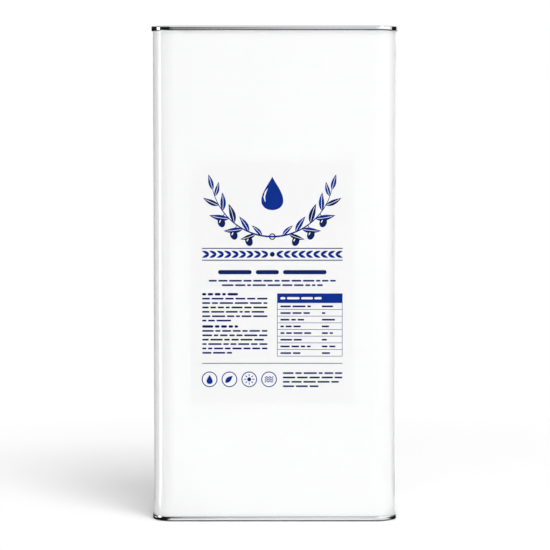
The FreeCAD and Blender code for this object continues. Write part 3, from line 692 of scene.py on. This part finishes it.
def draw_crest(solid, fine, light, width, height, settings):
    """Two olive sprigs round a drop of oil, at the head of the sticker."""
    foot_depth, drop_depth = 47.0 * MM, 20.0 * MM
    drop_width, drop_height = 15.0 * MM, 21.0 * MM
    knot_radius, knot_line = 1.7 * MM, 0.7 * MM
    # The glint's points across and up from the middle of the drop and its width there, in millimetres
    glint = ((-4.4, -5.2, 0.3), (-5.0, -2.4, 1.0), (-4.2, 0.6, 0.9), (-2.9, 3.0, 0.25))
    foot, heart = Vector((width / 2, height - foot_depth)), Vector((width / 2, height - drop_depth))
    for side in (-1, 1):
        draw_sprig(solid, fine, light, foot, side, settings)
    solid.drop(heart, drop_width, drop_height)
    light.strip([heart + Vector((across, up)) * MM for across, up, line in glint],
                [line * MM for across, up, line in glint])
    fine.ring(foot, knot_radius, knot_line)


def draw_leaf_band(solid, fine, width, low, settings):
    """A band of paired leaves between two rules."""
    band, rule, pitch, dot, first_leaf = 7.4 * MM, 0.55 * MM, 4.6 * MM, 1.5 * MM, 2.6 * MM
    leaf_length, leaf_width, leaf_bend, leaf_angle = 5.0 * MM, 1.75 * MM, 0.14, math.radians(33)
    left, right, middle = settings.margin, width - settings.margin, width / 2
    for level in (low, low + band):
        fine.box(left, level, right, level + rule)
    line = low + (band + rule) / 2
    fine.oval((middle, line), dot, dot)
    for number in range(int((right - left - pitch) / 2 // pitch)):
        for side in (-1, 1):
            base = (middle + side * (first_leaf + number * pitch), line)
            for face in (-1, 1):
                angle = math.radians(90 - side * 90) + side * face * leaf_angle
                solid.leaf(base, angle, leaf_length, leaf_width, -side * face * leaf_bend)


def draw_small_print(fine, left, right, top, low, settings, rng):
    """Paragraphs of small print, each with a heading and a shorter last line."""
    lines_each, heading_share, heading_scale, heading_drop = 7, 0.55, 1.45, 0.2 * MM
    last_least, last_most, paragraph_gap = 0.35, 0.7, 1.35
    level, number = top - settings.text_height, 0
    while level > low:
        place, pitch = number % lines_each, settings.line_pitch
        if place == 0:
            draw_words(fine, left, right, level - heading_drop, settings.text_height * heading_scale,
                       rng, heading_share)
        elif place == lines_each - 1:
            last_share = rng.uniform(last_least, last_most)
            draw_words(fine, left, right, level, settings.text_height, rng, last_share)
            pitch *= paragraph_gap
        else:
            draw_words(fine, left, right, level, settings.text_height, rng)
        level -= pitch
        number += 1


def draw_table(solid, fine, light, left, right, top, low, settings, rng):
    """A ruled table of two columns with a solid header."""
    header, header_words, header_depth, header_share = 6.0 * MM, 1.4 * MM, 3.7 * MM, 0.7
    rule, rows, inset, value_width, value_gap = 0.3 * MM, 8, 2.0 * MM, 13.0 * MM, 3.0 * MM
    name_least, name_most, value_least, value_most = 0.45, 1.0, 0.4, 0.8
    head = top - header
    solid.box(left, head, right, top)
    draw_words(light, left + inset, right - inset, top - header_depth, header_words, rng, header_share)
    solid.box(left, low, left + rule, head)
    solid.box(right - rule, low, right, head)
    divide = right - value_width
    pitch = (head - low) / rows
    for row in range(rows):
        foot = low + row * pitch
        solid.box(left + rule, foot, right - rule, foot + rule)
        level = foot + (pitch - settings.text_height) / 2
        draw_words(fine, left + inset, divide - value_gap, level, settings.text_height, rng,
                   rng.uniform(name_least, name_most))
        draw_words(fine, divide, right - inset, level, settings.text_height, rng,
                   rng.uniform(value_least, value_most))


def draw_sun(ink, centre):
    """A small sun with eight rays."""
    disc, rays = 1.25 * MM, 8
    ray_start, ray_end, ray_foot, ray_tip = 2.0 * MM, 3.3 * MM, 0.6 * MM, 0.45 * MM
    ink.oval(centre, disc, disc)
    for turn in turns_of(rays):
        way = towards(turn)
        ink.strip([centre + way * ray_start, centre + way * ray_end], [ray_foot, ray_tip])


def draw_waves(ink, centre):
    """Three small waves, one above the other."""
    half_steps, step_length, step_turn = 9, 0.3 * MM, 0.9
    wave_pitch, wave_height, line = 1.3 * MM, 0.45 * MM, 0.5 * MM
    for wave in (-1, 0, 1):
        path = []
        for step in range(-half_steps, half_steps + 1):
            up = wave * wave_pitch + wave_height * math.sin(step * step_turn)
            path.append(centre + Vector((step * step_length, up)))
        ink.strip(path, [line] * len(path))


def draw_marks(solid, fine, width, settings, rng):
    """Small plain marks in rings at the foot, with a few lines of small print beside them."""
    rule_level, rule = 24.5 * MM, 0.4 * MM
    marks, mark_level, mark_gap, ring_line = 4, 14.6 * MM, 3.2 * MM, 0.6 * MM
    drop_width, drop_height = 4.2 * MM, 5.8 * MM
    leaf_foot, leaf_length, leaf_width = Vector((-2.4 * MM, -2.2 * MM)), 6.2 * MM, 2.9 * MM
    leaf_angle, leaf_bend = math.radians(52), -0.14
    text_top, text_gap, text_lines, last_share = 18.0 * MM, 4.0 * MM, 4, 0.6
    left, right, radius = settings.margin, width - settings.margin, settings.mark_radius
    fine.box(left, rule_level, right, rule_level + rule)
    pitch = radius * 2 + mark_gap
    centres = [Vector((left + radius + number * pitch, mark_level)) for number in range(marks)]
    for centre in centres:
        solid.ring(centre, radius, ring_line)
    oil, leaf, sun, water = centres
    solid.drop(oil, drop_width, drop_height)
    solid.leaf(leaf + leaf_foot, leaf_angle, leaf_length, leaf_width, leaf_bend)
    draw_sun(solid, sun)
    draw_waves(solid, water)
    text_left = water.x + radius + text_gap
    for number in range(text_lines):
        share = last_share if number == text_lines - 1 else 1.0
        low = text_top - number * settings.line_pitch
        draw_words(fine, text_left, right, low, settings.text_height, rng, share)


def add_helix(name, axis, root, crest, start, turns, thread, material, body, first_turn=0.0):
    """A thread's ridge: its section carried up a helix, running out into the wall at both ends."""
    steps_each_turn, run_out, thin_end, corners, smooth = 72, 9, 0.12, 4, 40
    steps = int(turns * steps_each_turn)
    points = []
    for step in range(steps + 1):
        turn = first_turn + turns * step / steps
        level = start + thread.lead * turn
        way = towards(FULL_TURN * turn)
        full = min(step, steps - step, run_out) / run_out
        reach = root + (crest - root) * (thin_end + (1.0 - thin_end) * full)
        for radius, rise in ((root, thread.root_width / 2), (root, -thread.root_width / 2),
                             (reach, -thread.crest_width / 2), (reach, thread.crest_width / 2)):
            points.append((axis.x + radius * way.x, axis.y + radius * way.y, level + rise))
    faces = loops_to_faces(steps + 1, corners, closed=False)
    last = steps * corners
    faces.append([0, 1, 2, 3])
    faces.append([last + 3, last + 2, last + 1, last])
    add_piece(name, points, faces, material, body, smooth)


def add_weld(name, centre, radius, height, material, body):
    """The raised rim of a spot weld on a flat face."""
    around, smooth = 28, 60
    # Shares of the weld's radius and height round the section of its rim
    section = [(0.32, -0.3), (0.45, 0.7), (0.7, 1.0), (1.0, -0.3)]
    points = []
    for share, rise in section:
        for turn in turns_of(around):
            way = towards(turn) * radius * share
            points.append((centre.x + way.x, centre.y + way.y, centre.z + height * rise))
    add_piece(name, points, loops_to_faces(len(section), around), material, body, smooth)


def rounded_section(half_width, half_height, radius, steps=7):
    """Points and outward directions round a rounded rectangle."""
    found = []
    for across, up, start in ((1, 1, 0), (-1, 1, 90), (-1, -1, 180), (1, -1, 270)):
        centre = Vector((across * (half_width - radius), up * (half_height - radius)))
        for step in range(steps + 1):
            way = towards(math.radians(start + 90 * step / steps))
            found.append((centre + way * radius, way))
    return found


def add_grip_rib(name, level, trim, material):
    """A low rib round the grip's sleeve."""
    corner, smooth = 2.6 * MM, 50
    # Shares of the rib's width and height along its profile
    profile = [(-0.5, -0.4), (-0.32, 0.6), (0.0, 1.0), (0.32, 0.6), (0.5, -0.4)]
    low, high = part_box("handle_grip")
    middle = (low + high) / 2
    section = rounded_section((high.x - low.x) / 2, (high.z - low.z) / 2, corner)
    points = []
    for along, rise in profile:
        for point, way in section:
            place = point + way * rise * trim.rib_height
            points.append((middle.x + place.x, level + along * trim.rib_width, middle.z + place.y))
    faces = loops_to_faces(len(profile), len(section))
    add_piece(name, points, faces, material, "handle", smooth)


class OILTIN_OT_dress_can(bpy.types.Operator):
    """Finish the can's wall, both ends and all sealing compound"""

    bl_idname = "oil_tin.dress_can"
    bl_label = "Dress Can"

    def execute(self, context):
        finishes = settings_of(context)["finishes"]
        dress(make_enamel(finishes), "tin_body")
        ends = make_tinplate("tinplate", finishes.tinplate, roughness=0.13, crowned=True)
        dress(ends, "top_end", "bottom_end")
        dress(make_sealing(finishes), "top_seam_compound", "bottom_seam_compound",
              "spout_gasket", "spout_wiper")
        return {"FINISHED"}


class OILTIN_OT_print_label(bpy.types.Operator):
    """Finish the sticker and print an olive crest, ornament, small print and a table on it"""

    bl_idname = "oil_tin.print_label"
    bl_label = "Print Sticker"

    def execute(self, context):
        settings = settings_of(context)
        finishes, layout = settings["finishes"], settings["print"]
        band_depth, columns_depth, columns_low = 62.0 * MM, 82.5 * MM, 29.0 * MM
        film = make_label_film(finishes)
        dress(film, "front_label")
        low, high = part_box("front_label")
        width, height = high.x - low.x, high.z - low.z
        columns_top, middle = height - columns_depth, width / 2
        text_right, table_left = middle - layout.column_gap / 2, middle + layout.column_gap / 2
        left, right = layout.margin, width - layout.margin
        rng = random.Random(layout.seed)
        solid, fine, light = Print(), Print(), Print()
        draw_crest(solid, fine, light, width, height, layout)
        draw_leaf_band(solid, fine, width, height - band_depth, layout)
        self.draw_heading(fine, width, height, layout, rng)
        draw_small_print(fine, left, text_right, columns_top, columns_low, layout, rng)
        draw_table(solid, fine, light, table_left, right, columns_top, columns_low, layout, rng)
        draw_marks(solid, fine, width, layout, rng)
        back, front = low.y + layout.ink_height / 2, low.y - layout.ink_height
        # The navy and the light shapes stand a little higher, so that they show where they cross blue
        navy_front, light_front = front - layout.ink_height / 5, front - layout.ink_height / 2
        blue = make_ink("label_ink_blue", finishes.ink)
        navy = make_ink("label_ink_navy", finishes.dark_ink)
        solid.make("label_print_blue", low, back, front, blue, "label_ink")
        fine.make("label_print_navy", low, back, navy_front, navy, "label_ink")
        light.make("label_print_light", low, low.y, light_front, film, "label_film")
        return {"FINISHED"}

    def draw_heading(self, fine, width, height, layout, rng):
        """Three bold bars and two lines of small print under them."""
        heading_depth, bar_height, text_drop = 70.5 * MM, 2.6 * MM, 4.6 * MM
        level = height - heading_depth
        for start, stop in ((17.0 * MM, 38.0 * MM), (40.5 * MM, 55.0 * MM), (57.5 * MM, 84.7 * MM)):
            fine.word(start, stop, level, bar_height)
        for number, share in enumerate((0.78, 0.62)):
            edge = width * (1.0 - share) / 2
            low = level - text_drop - number * layout.line_pitch
            draw_words(fine, edge, width - edge, low, layout.text_height, rng)


class OILTIN_OT_dress_spout(bpy.types.Operator):
    """Finish the pouring spout and cut the thread on its nozzle"""

    bl_idname = "oil_tin.dress_spout"
    bl_label = "Dress Spout"

    def execute(self, context):
        settings = settings_of(context)
        finishes, thread = settings["finishes"], settings["thread"]
        axis = middle_of("spout_nozzle")
        plastic = make_moulded("spout_plastic", finishes.spout, roughness=0.42)
        dress(plastic, "spout_base", "spout_nozzle")
        dress(make_turned_metal("crimp_metal", finishes.crimp, axis, roughness=0.26), "spout_crimp_ring")
        add_helix("nozzle_thread", axis, thread.nozzle_root, thread.nozzle_crest, thread.start,
                  thread.nozzle_turns, thread, plastic, "spout")
        return {"FINISHED"}


class OILTIN_OT_dress_cap(bpy.types.Operator):
    """Finish the screw cap, its liner and its pull ring, and roll the thread in its skirt"""

    bl_idname = "oil_tin.dress_cap"
    bl_label = "Dress Cap"

    def execute(self, context):
        settings = settings_of(context)
        finishes, thread, trim = settings["finishes"], settings["thread"], settings["trim"]
        foot_inset, metal, weld_scale = 1.5 * MM, 0.4 * MM, 0.7
        axis = middle_of("screw_cap")
        steel = make_turned_metal("cap_steel", finishes.cap, axis, roughness=0.2)
        dress(steel, "screw_cap", "cap_ring_bridge")
        dress(make_liner_foam(finishes), "cap_liner")
        dress(make_wire(finishes), "cap_pull_ring", "handle_bail")
        add_helix("cap_thread", axis, thread.cap_root, thread.cap_crest, thread.start - thread.lead / 2,
                  thread.cap_turns, thread, steel, "cap", thread.cap_offset)
        low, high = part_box("cap_ring_bridge")
        for number, across in enumerate((low.x + foot_inset, high.x - foot_inset)):
            foot = Vector((across, 0.0, low.z + metal))
            add_weld(f"bridge_weld_{number}", foot, trim.weld_radius * weld_scale, trim.weld_height,
                     steel, "cap")
        return {"FINISHED"}


class OILTIN_OT_dress_handle(bpy.types.Operator):
    """Finish the carrying handle, with ribs on its grip and spot welds on its ears"""

    bl_idname = "oil_tin.dress_handle"
    bl_label = "Dress Handle"

    def execute(self, context):
        settings = settings_of(context)
        finishes, trim = settings["finishes"], settings["trim"]
        foot_inset, metal = 2.5 * MM, 0.8 * MM
        sleeve = make_moulded("grip_plastic", finishes.grip, roughness=0.46)
        dress(sleeve, "handle_grip")
        low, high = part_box("handle_grip")
        count = int((high.y - low.y) * trim.rib_share / trim.rib_pitch)
        for number in range(count):
            level = (number - (count - 1) / 2) * trim.rib_pitch
            add_grip_rib(f"grip_rib_{number:02d}", level, trim, sleeve)
        plate = make_tinplate("ear_plate", finishes.ear, roughness=0.24, crowned=False)
        for side in ("front", "back"):
            node = f"handle_ear_{side}"
            dress(plate, node)
            low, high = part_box(node)
            for number, across in enumerate((low.x + foot_inset, high.x - foot_inset)):
                centre = Vector((across, (low.y + high.y) / 2, low.z + metal))
                add_weld(f"ear_weld_{side}_{number}", centre, trim.weld_radius, trim.weld_height,
                         plate, "tin")
        return {"FINISHED"}


def seen_directly(tree):
    """One for what is seen straight, by reflection or through glass, and nothing for other light."""
    path = tree.node("ShaderNodeLightPath").outputs
    seen = tree.math("MAXIMUM", path["Is Camera Ray"], path["Is Glossy Ray"])
    return tree.math("MAXIMUM", seen, path["Is Transmission Ray"])


def light_world(stage):
    """A white surround where it is seen, and an even softer light where it only lights."""
    world = bpy.data.worlds.new("studio")
    bpy.context.scene.world = world
    tree = NodeTree(world)
    surround = tree.nodes["Background"].inputs
    surround["Color"].default_value = (WHITE, WHITE, WHITE, 1.0)
    strength = tree.node("ShaderNodeMapRange", (seen_directly(tree), 0.0, 1.0, stage.sky, WHITE))
    tree.links.new(strength.outputs[0], surround["Strength"])


def make_stage_material(name):
    """A material without a shader, and its nodes."""
    material = bpy.data.materials.new(name)
    tree = NodeTree(material)
    tree.nodes.remove(tree.nodes["Principled BSDF"])
    return material, tree


def make_floor_finish(stage):
    """Pale floor that keeps shadows near the tin and turns white further out."""
    material, tree = make_stage_material("studio_floor")
    matt = tree.node("ShaderNodeBsdfDiffuse", ((*stage.floor, 1.0),)).outputs[0]
    white = tree.node("ShaderNodeEmission").outputs[0]
    away = tree.node("ShaderNodeVectorMath", (tree.place(),), operation="LENGTH").outputs["Value"]
    fade = tree.spread(away, 0.0, 1.0, stage.floor_fade_start, stage.floor_fade_end)
    share = tree.math("MULTIPLY", fade, seen_directly(tree))
    mix = tree.node("ShaderNodeMixShader", (share, matt, white)).outputs[0]
    tree.links.new(mix, tree.nodes["Material Output"].inputs["Surface"])
    return material


def make_glow(name, tone):
    """Even glow of a studio panel."""
    material, tree = make_stage_material(name)
    glow = tree.node("ShaderNodeEmission", {"Strength": tone}).outputs[0]
    tree.links.new(glow, tree.nodes["Material Output"].inputs["Surface"])
    return material


def grade_glow(material, limits, tones, upwards=False):
    """Grades a panel's glow between two angles round its centre, or upwards between two heights."""
    tree = NodeTree(material)
    parts = tree.parts(tree.place())
    source = parts["Z"] if upwards else tree.math("ARCTAN2", parts["X"], parts["Y"])
    tree.links.new(tree.spread(source, *tones, *limits), tree.nodes["Emission"].inputs["Strength"])


def add_stage_mesh(name, points, faces, material):
    """A mesh of the studio, which is not part of the tin."""
    mesh = bpy.data.meshes.new(name)
    mesh.from_pydata(points, [], faces)
    mesh.materials.append(material)
    thing = bpy.data.objects.new(name, mesh)
    bpy.context.scene.collection.objects.link(thing)
    return thing


def add_gloss_mesh(name, points, faces, material):
    """A mesh of the studio that shows in reflections and in nothing else."""
    thing = add_stage_mesh(name, points, faces, material)
    thing.visible_camera = False
    thing.visible_diffuse = False
    thing.visible_shadow = False
    thing.visible_transmission = False
    thing.visible_volume_scatter = False
    return thing


def rectangle(across, along, level):
    """The corners and the face of a level rectangle, from its limits across and along."""
    corners = [(across[0], along[0], level), (across[1], along[0], level),
               (across[1], along[1], level), (across[0], along[1], level)]
    return corners, [[0, 1, 2, 3]]


def add_panel(name, first, last, tones, near, far,
              top=None, centre=(0.0, 0.0), level=0.2 * MM, fade=None):
    """A studio panel that only shows in gloss. It runs out along the floor and may stand up at its end.

    Angles run to the left from the camera. The tones are those at the first and the last angle. A panel
    of one tone may fade to white from a height to its top.
    """
    steps = 24
    profile = [(near, level), (far, level)] + ([(far, top)] if top else [])
    angles = math.radians(first), math.radians(last)
    points, faces = [], []
    for step in range(steps + 1):
        turn = angles[0] + (angles[1] - angles[0]) * step / steps
        points += [(reach * math.sin(turn), reach * math.cos(turn), rise) for reach, rise in profile]
    for step in range(steps):
        for row in range(len(profile) - 1):
            start = len(profile) * step + row
            faces.append([start, start + len(profile), start + len(profile) + 1, start + 1])
    material = make_glow(name, tones[0])
    if tones[0] != tones[1]:
        grade_glow(material, angles, tones)
    elif fade:
        grade_glow(material, (fade, top), (tones[0], WHITE), upwards=True)
    panel = add_gloss_mesh(name, points, faces, material)
    panel.location = (*centre, 0.0)
    panel.rotation_euler.z = math.pi


def add_panels(names, edges, tones, near, far, **options):
    """Panels side by side, each graded from the tone at one of its edges to the tone at the next."""
    for name, first, last, start, end in zip(names, edges, edges[1:], tones, tones[1:]):
        add_panel(name, first, last, (start, end), near, far, **options)


def add_flag(name, tone, half_width, level, near, far):
    """A level card in front of the tin that only shows in gloss."""
    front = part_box("tin_body")[0].y
    card = rectangle((-half_width, half_width), (front - far, front - near), level)
    add_gloss_mesh(name, *card, make_glow(name, tone))


def add_ring(name, tone, level, near, far):
    """A level card round the tin that only shows in gloss, from near to far off the rim."""
    corner_steps = 12
    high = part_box("bottom_end")[1]
    points = []
    for reach in (near, far):
        section = rounded_section(high.x + reach, high.y + reach, RIM_RADIUS + reach, corner_steps)
        points += [(*point, level) for point, way in section]
    faces = loops_to_faces(2, len(points) // 2, closed=False)
    add_gloss_mesh(name, points, faces, make_glow(name, tone))


def add_ceiling(name, tone, low, high, radius):
    """A wide cone overhead that only shows in gloss and darkens towards its top."""
    around = 48
    points = [(*(towards(turn) * radius), low) for turn in turns_of(around)] + [(0.0, 0.0, high)]
    faces = [[step, (step + 1) % around, around] for step in range(around)]
    material = make_glow(name, tone)
    grade_glow(material, (low, high), (WHITE, tone), upwards=True)
    add_gloss_mesh(name, points, faces, material)


def face_tin(thing, distance, side, rise):
    """Places a lamp or card so that it faces the tin. Side runs to the right from the camera."""
    level = distance * math.cos(rise)
    thing.location = (level * math.sin(side), -level * math.cos(side), distance * math.sin(rise))
    thing.rotation_euler = (-Vector(thing.location)).to_track_quat("-Z", "Y").to_euler()


class OILTIN_OT_set_stage(bpy.types.Operator):
    """Set up the floor, the soft studio light and the camera"""

    bl_idname = "oil_tin.set_stage"
    bl_label = "Set Stage"

    def execute(self, context):
        stage = settings_of(context)["stage"]
        scene = context.scene
        scene.view_settings.view_transform = "Standard"
        light_world(stage)
        floor_half, floor_level = 6.0, -0.05 * MM
        floor = rectangle((-floor_half, floor_half), (-floor_half, floor_half), floor_level)
        add_stage_mesh("studio_floor", *floor, make_floor_finish(stage))
        self.add_surround(stage)
        self.add_corner_cards(stage)
        self.add_level_cards(stage)
        self.add_lamp(scene, "main_lamp", stage.lamp_power, (stage.lamp_size, stage.lamp_length),
                      stage.lamp_distance, stage.lamp_side, stage.lamp_rise)
        self.add_lamp(scene, "fill_lamp", stage.fill_power, (stage.fill_size, stage.fill_size),
                      stage.fill_distance, 0.0, stage.fill_rise)
        self.add_glint(stage)
        self.add_camera(scene, stage)
        return {"FINISHED"}

    def add_surround(self, stage):
        """Tall panels far round the tin, for the long dark and bright stretches on its seams."""
        dark, bright = stage.dark, stage.bright
        right_edge, left_edge = -28.0, 21.0
        beside_tin, wall_foot, wall = 0.1, 2.9, 3.0
        tall = {"far": wall, "top": 2.0, "fade": 0.7}
        add_panel("panel_right_back", first=-138.0, last=-92.0, tones=(dark, dark),
                  near=beside_tin, **tall)
        add_panel("panel_right", first=-80.0, last=right_edge, tones=(bright, bright),
                  near=wall_foot, **tall)
        add_panels(("panel_front_right", "panel_front", "panel_front_left"),
                   edges=(right_edge, -2.8, 3.6, left_edge),
                   tones=(bright, stage.pale, stage.grey, dark),
                   near=wall_foot, far=wall, top=stage.front_top)
        add_panel("panel_left", first=left_edge, last=172.0, tones=(dark, dark),
                  near=beside_tin, **tall)

    def add_corner_cards(self, stage):
        """A bright strip beside the left front corner for a painted highlight, and dark cards at the foot
        of both corners for painted shade.
        """
        dark, strip = stage.dark, stage.strip
        foot, strip_end, strip_top, level = 0.06, 2.8, 0.75, 0.25 * MM
        patch_tone, patch_level = 1.6, 0.3 * MM
        patch_near, patch_far = RIM_RADIUS + 5.5 * MM, RIM_RADIUS + 13.0 * MM
        low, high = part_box("tin_body")
        at_left = {"centre": (low.x + CORNER_RADIUS, low.y + CORNER_RADIUS), "level": level}
        at_right = {"centre": (high.x - CORNER_RADIUS, low.y + CORNER_RADIUS), "level": level}
        # Painted highlight: the strip glows only in reflections, for the highlights on the left front
        # corner
        add_panels(("panel_strip_front", "panel_strip", "panel_strip_back"),
                   edges=(72.0, 80.0, 89.0, 97.0), tones=(dark, strip, strip, dark),
                   near=foot, far=strip_end, top=strip_top, **at_left)
        # Painted shade: dark cards near the foot, which the bottom seam reflects as the floor's shade
        foot_shade_tones = (WHITE, dark, dark, WHITE)
        add_panels(("foot_shade_left_front", "foot_shade_left", "foot_shade_left_back"),
                   edges=(8.0, 24.0, 105.0, 165.0), tones=foot_shade_tones, near=0.0, far=foot, **at_left)
        # Painted highlight: a bright patch that the bottom seam reflects at the left corner
        add_panel("foot_highlight_strip", first=77.0, last=98.0, tones=(patch_tone, patch_tone),
                  near=patch_near, far=patch_far, centre=at_left["centre"], level=patch_level)
        add_panels(("foot_shade_right_back", "foot_shade_right", "foot_shade_right_front"),
                   edges=(-165.0, -105.0, -62.0, -45.0), tones=foot_shade_tones, near=0.0, far=foot, **at_right)

    def add_level_cards(self, stage):
        """Bright cards before the bottom seam for painted highlights, a ceiling, and dark rings under
        both seams for painted shade.
        """
        flag_tone = 1.25
        half_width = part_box("tin_body")[1].x - CORNER_RADIUS
        # Painted highlight: bright cards in front of the tin that the bottom seam reflects
        add_flag("foot_highlight_front", flag_tone, half_width, level=0.25 * MM, near=2.0 * MM, far=7.0 * MM)
        add_flag("foot_highlight_away", flag_tone, half_width, level=0.03, near=0.08, far=0.2)
        add_ceiling("ceiling", stage.overhead, low=2.5, high=3.0, radius=1.6)
        # Painted shade: dark rings that the bottom seam's foot and the top seam's lower edge reflect
        add_ring("painted_contact_shade", stage.dark, level=0.35 * MM, near=-6.0 * MM, far=1.2 * MM)
        add_ring("shade", stage.dark, level=0.295, near=12.0 * MM, far=75.0 * MM)

    def add_lamp(self, scene, name, power, size, distance, side, rise):
        """A soft lamp that faces the tin and leaves reflections to the panels."""
        data = bpy.data.lights.new(name, "AREA")
        data.energy = power
        data.shape = "RECTANGLE"
        data.size, data.size_y = size
        lamp = bpy.data.objects.new(name, data)
        lamp.visible_glossy = False
        face_tin(lamp, distance, side, rise)
        scene.collection.objects.link(lamp)

    def add_glint(self, stage):
        """The main lamp as reflections show it, a little further to the right."""
        across, up = stage.lamp_size / 2, stage.lamp_length / 2
        card = rectangle((-across, across), (-up, up), 0.0)
        glint = add_gloss_mesh("lamp_glint", *card, make_glow("lamp_glint", stage.glint))
        face_tin(glint, stage.lamp_distance, stage.glint_side, stage.lamp_rise)

    def add_camera(self, scene, stage):
        """The camera, level with the upper part of the tin's front."""
        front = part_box("tin_body")[0].y
        data = bpy.data.cameras.new("camera")
        data.lens = stage.lens
        data.sensor_width = 36.0
        camera = bpy.data.objects.new("camera", data)
        camera.location = (stage.camera_side, front - stage.camera_distance, stage.camera_height)
        aim = Vector((stage.camera_side, front, stage.aim_height))
        camera.rotation_euler = (aim - camera.location).to_track_quat("-Z", "Y").to_euler()
        scene.collection.objects.link(camera)
        scene.camera = camera


class OILTIN_PT_sidebar(bpy.types.Panel):
    """Lists the steps that dress the tin, with their settings"""

    bl_idname = "OILTIN_PT_sidebar"
    bl_label = "Oil Tin"
    bl_space_type = "VIEW_3D"
    bl_region_type = "UI"
    bl_category = "Oil Tin"

    def draw(self, context):
        for operator in OPERATORS:
            self.layout.operator(operator.bl_idname)
        for title, group in settings_of(context).items():
            box = self.layout.box()
            box.label(text=title.capitalize())
            for name in group.__annotations__:
                box.prop(group, name)


GROUPS = {
    "oil_tin_finishes": OilTinFinishes,
    "oil_tin_print": OilTinPrint,
    "oil_tin_thread": OilTinThread,
    "oil_tin_trim": OilTinTrim,
    "oil_tin_stage": OilTinStage,
}
OPERATORS = (
    OILTIN_OT_dress_can,
    OILTIN_OT_print_label,
    OILTIN_OT_dress_spout,
    OILTIN_OT_dress_cap,
    OILTIN_OT_dress_handle,
    OILTIN_OT_set_stage,
)


def register():
    """Makes the settings, the operators and the panel known to Blender."""
    for name, group in GROUPS.items():
        bpy.utils.register_class(group)
        setattr(bpy.types.Scene, name, bpy.props.PointerProperty(type=group))
    for operator in OPERATORS:
        bpy.utils.register_class(operator)
    bpy.utils.register_class(OILTIN_PT_sidebar)


def unregister():
    """Takes them out again."""
    bpy.utils.unregister_class(OILTIN_PT_sidebar)
    for operator in reversed(OPERATORS):
        bpy.utils.unregister_class(operator)
    for name, group in reversed(GROUPS.items()):
        delattr(bpy.types.Scene, name)
        bpy.utils.unregister_class(group)


def main():
    """Dresses the tin and sets the stage."""
    register()
    bpy.ops.oil_tin.dress_can()
    bpy.ops.oil_tin.print_label()
    bpy.ops.oil_tin.dress_spout()
    bpy.ops.oil_tin.dress_cap()
    bpy.ops.oil_tin.dress_handle()
    bpy.ops.oil_tin.set_stage()


if __name__ == "__main__":
    main()
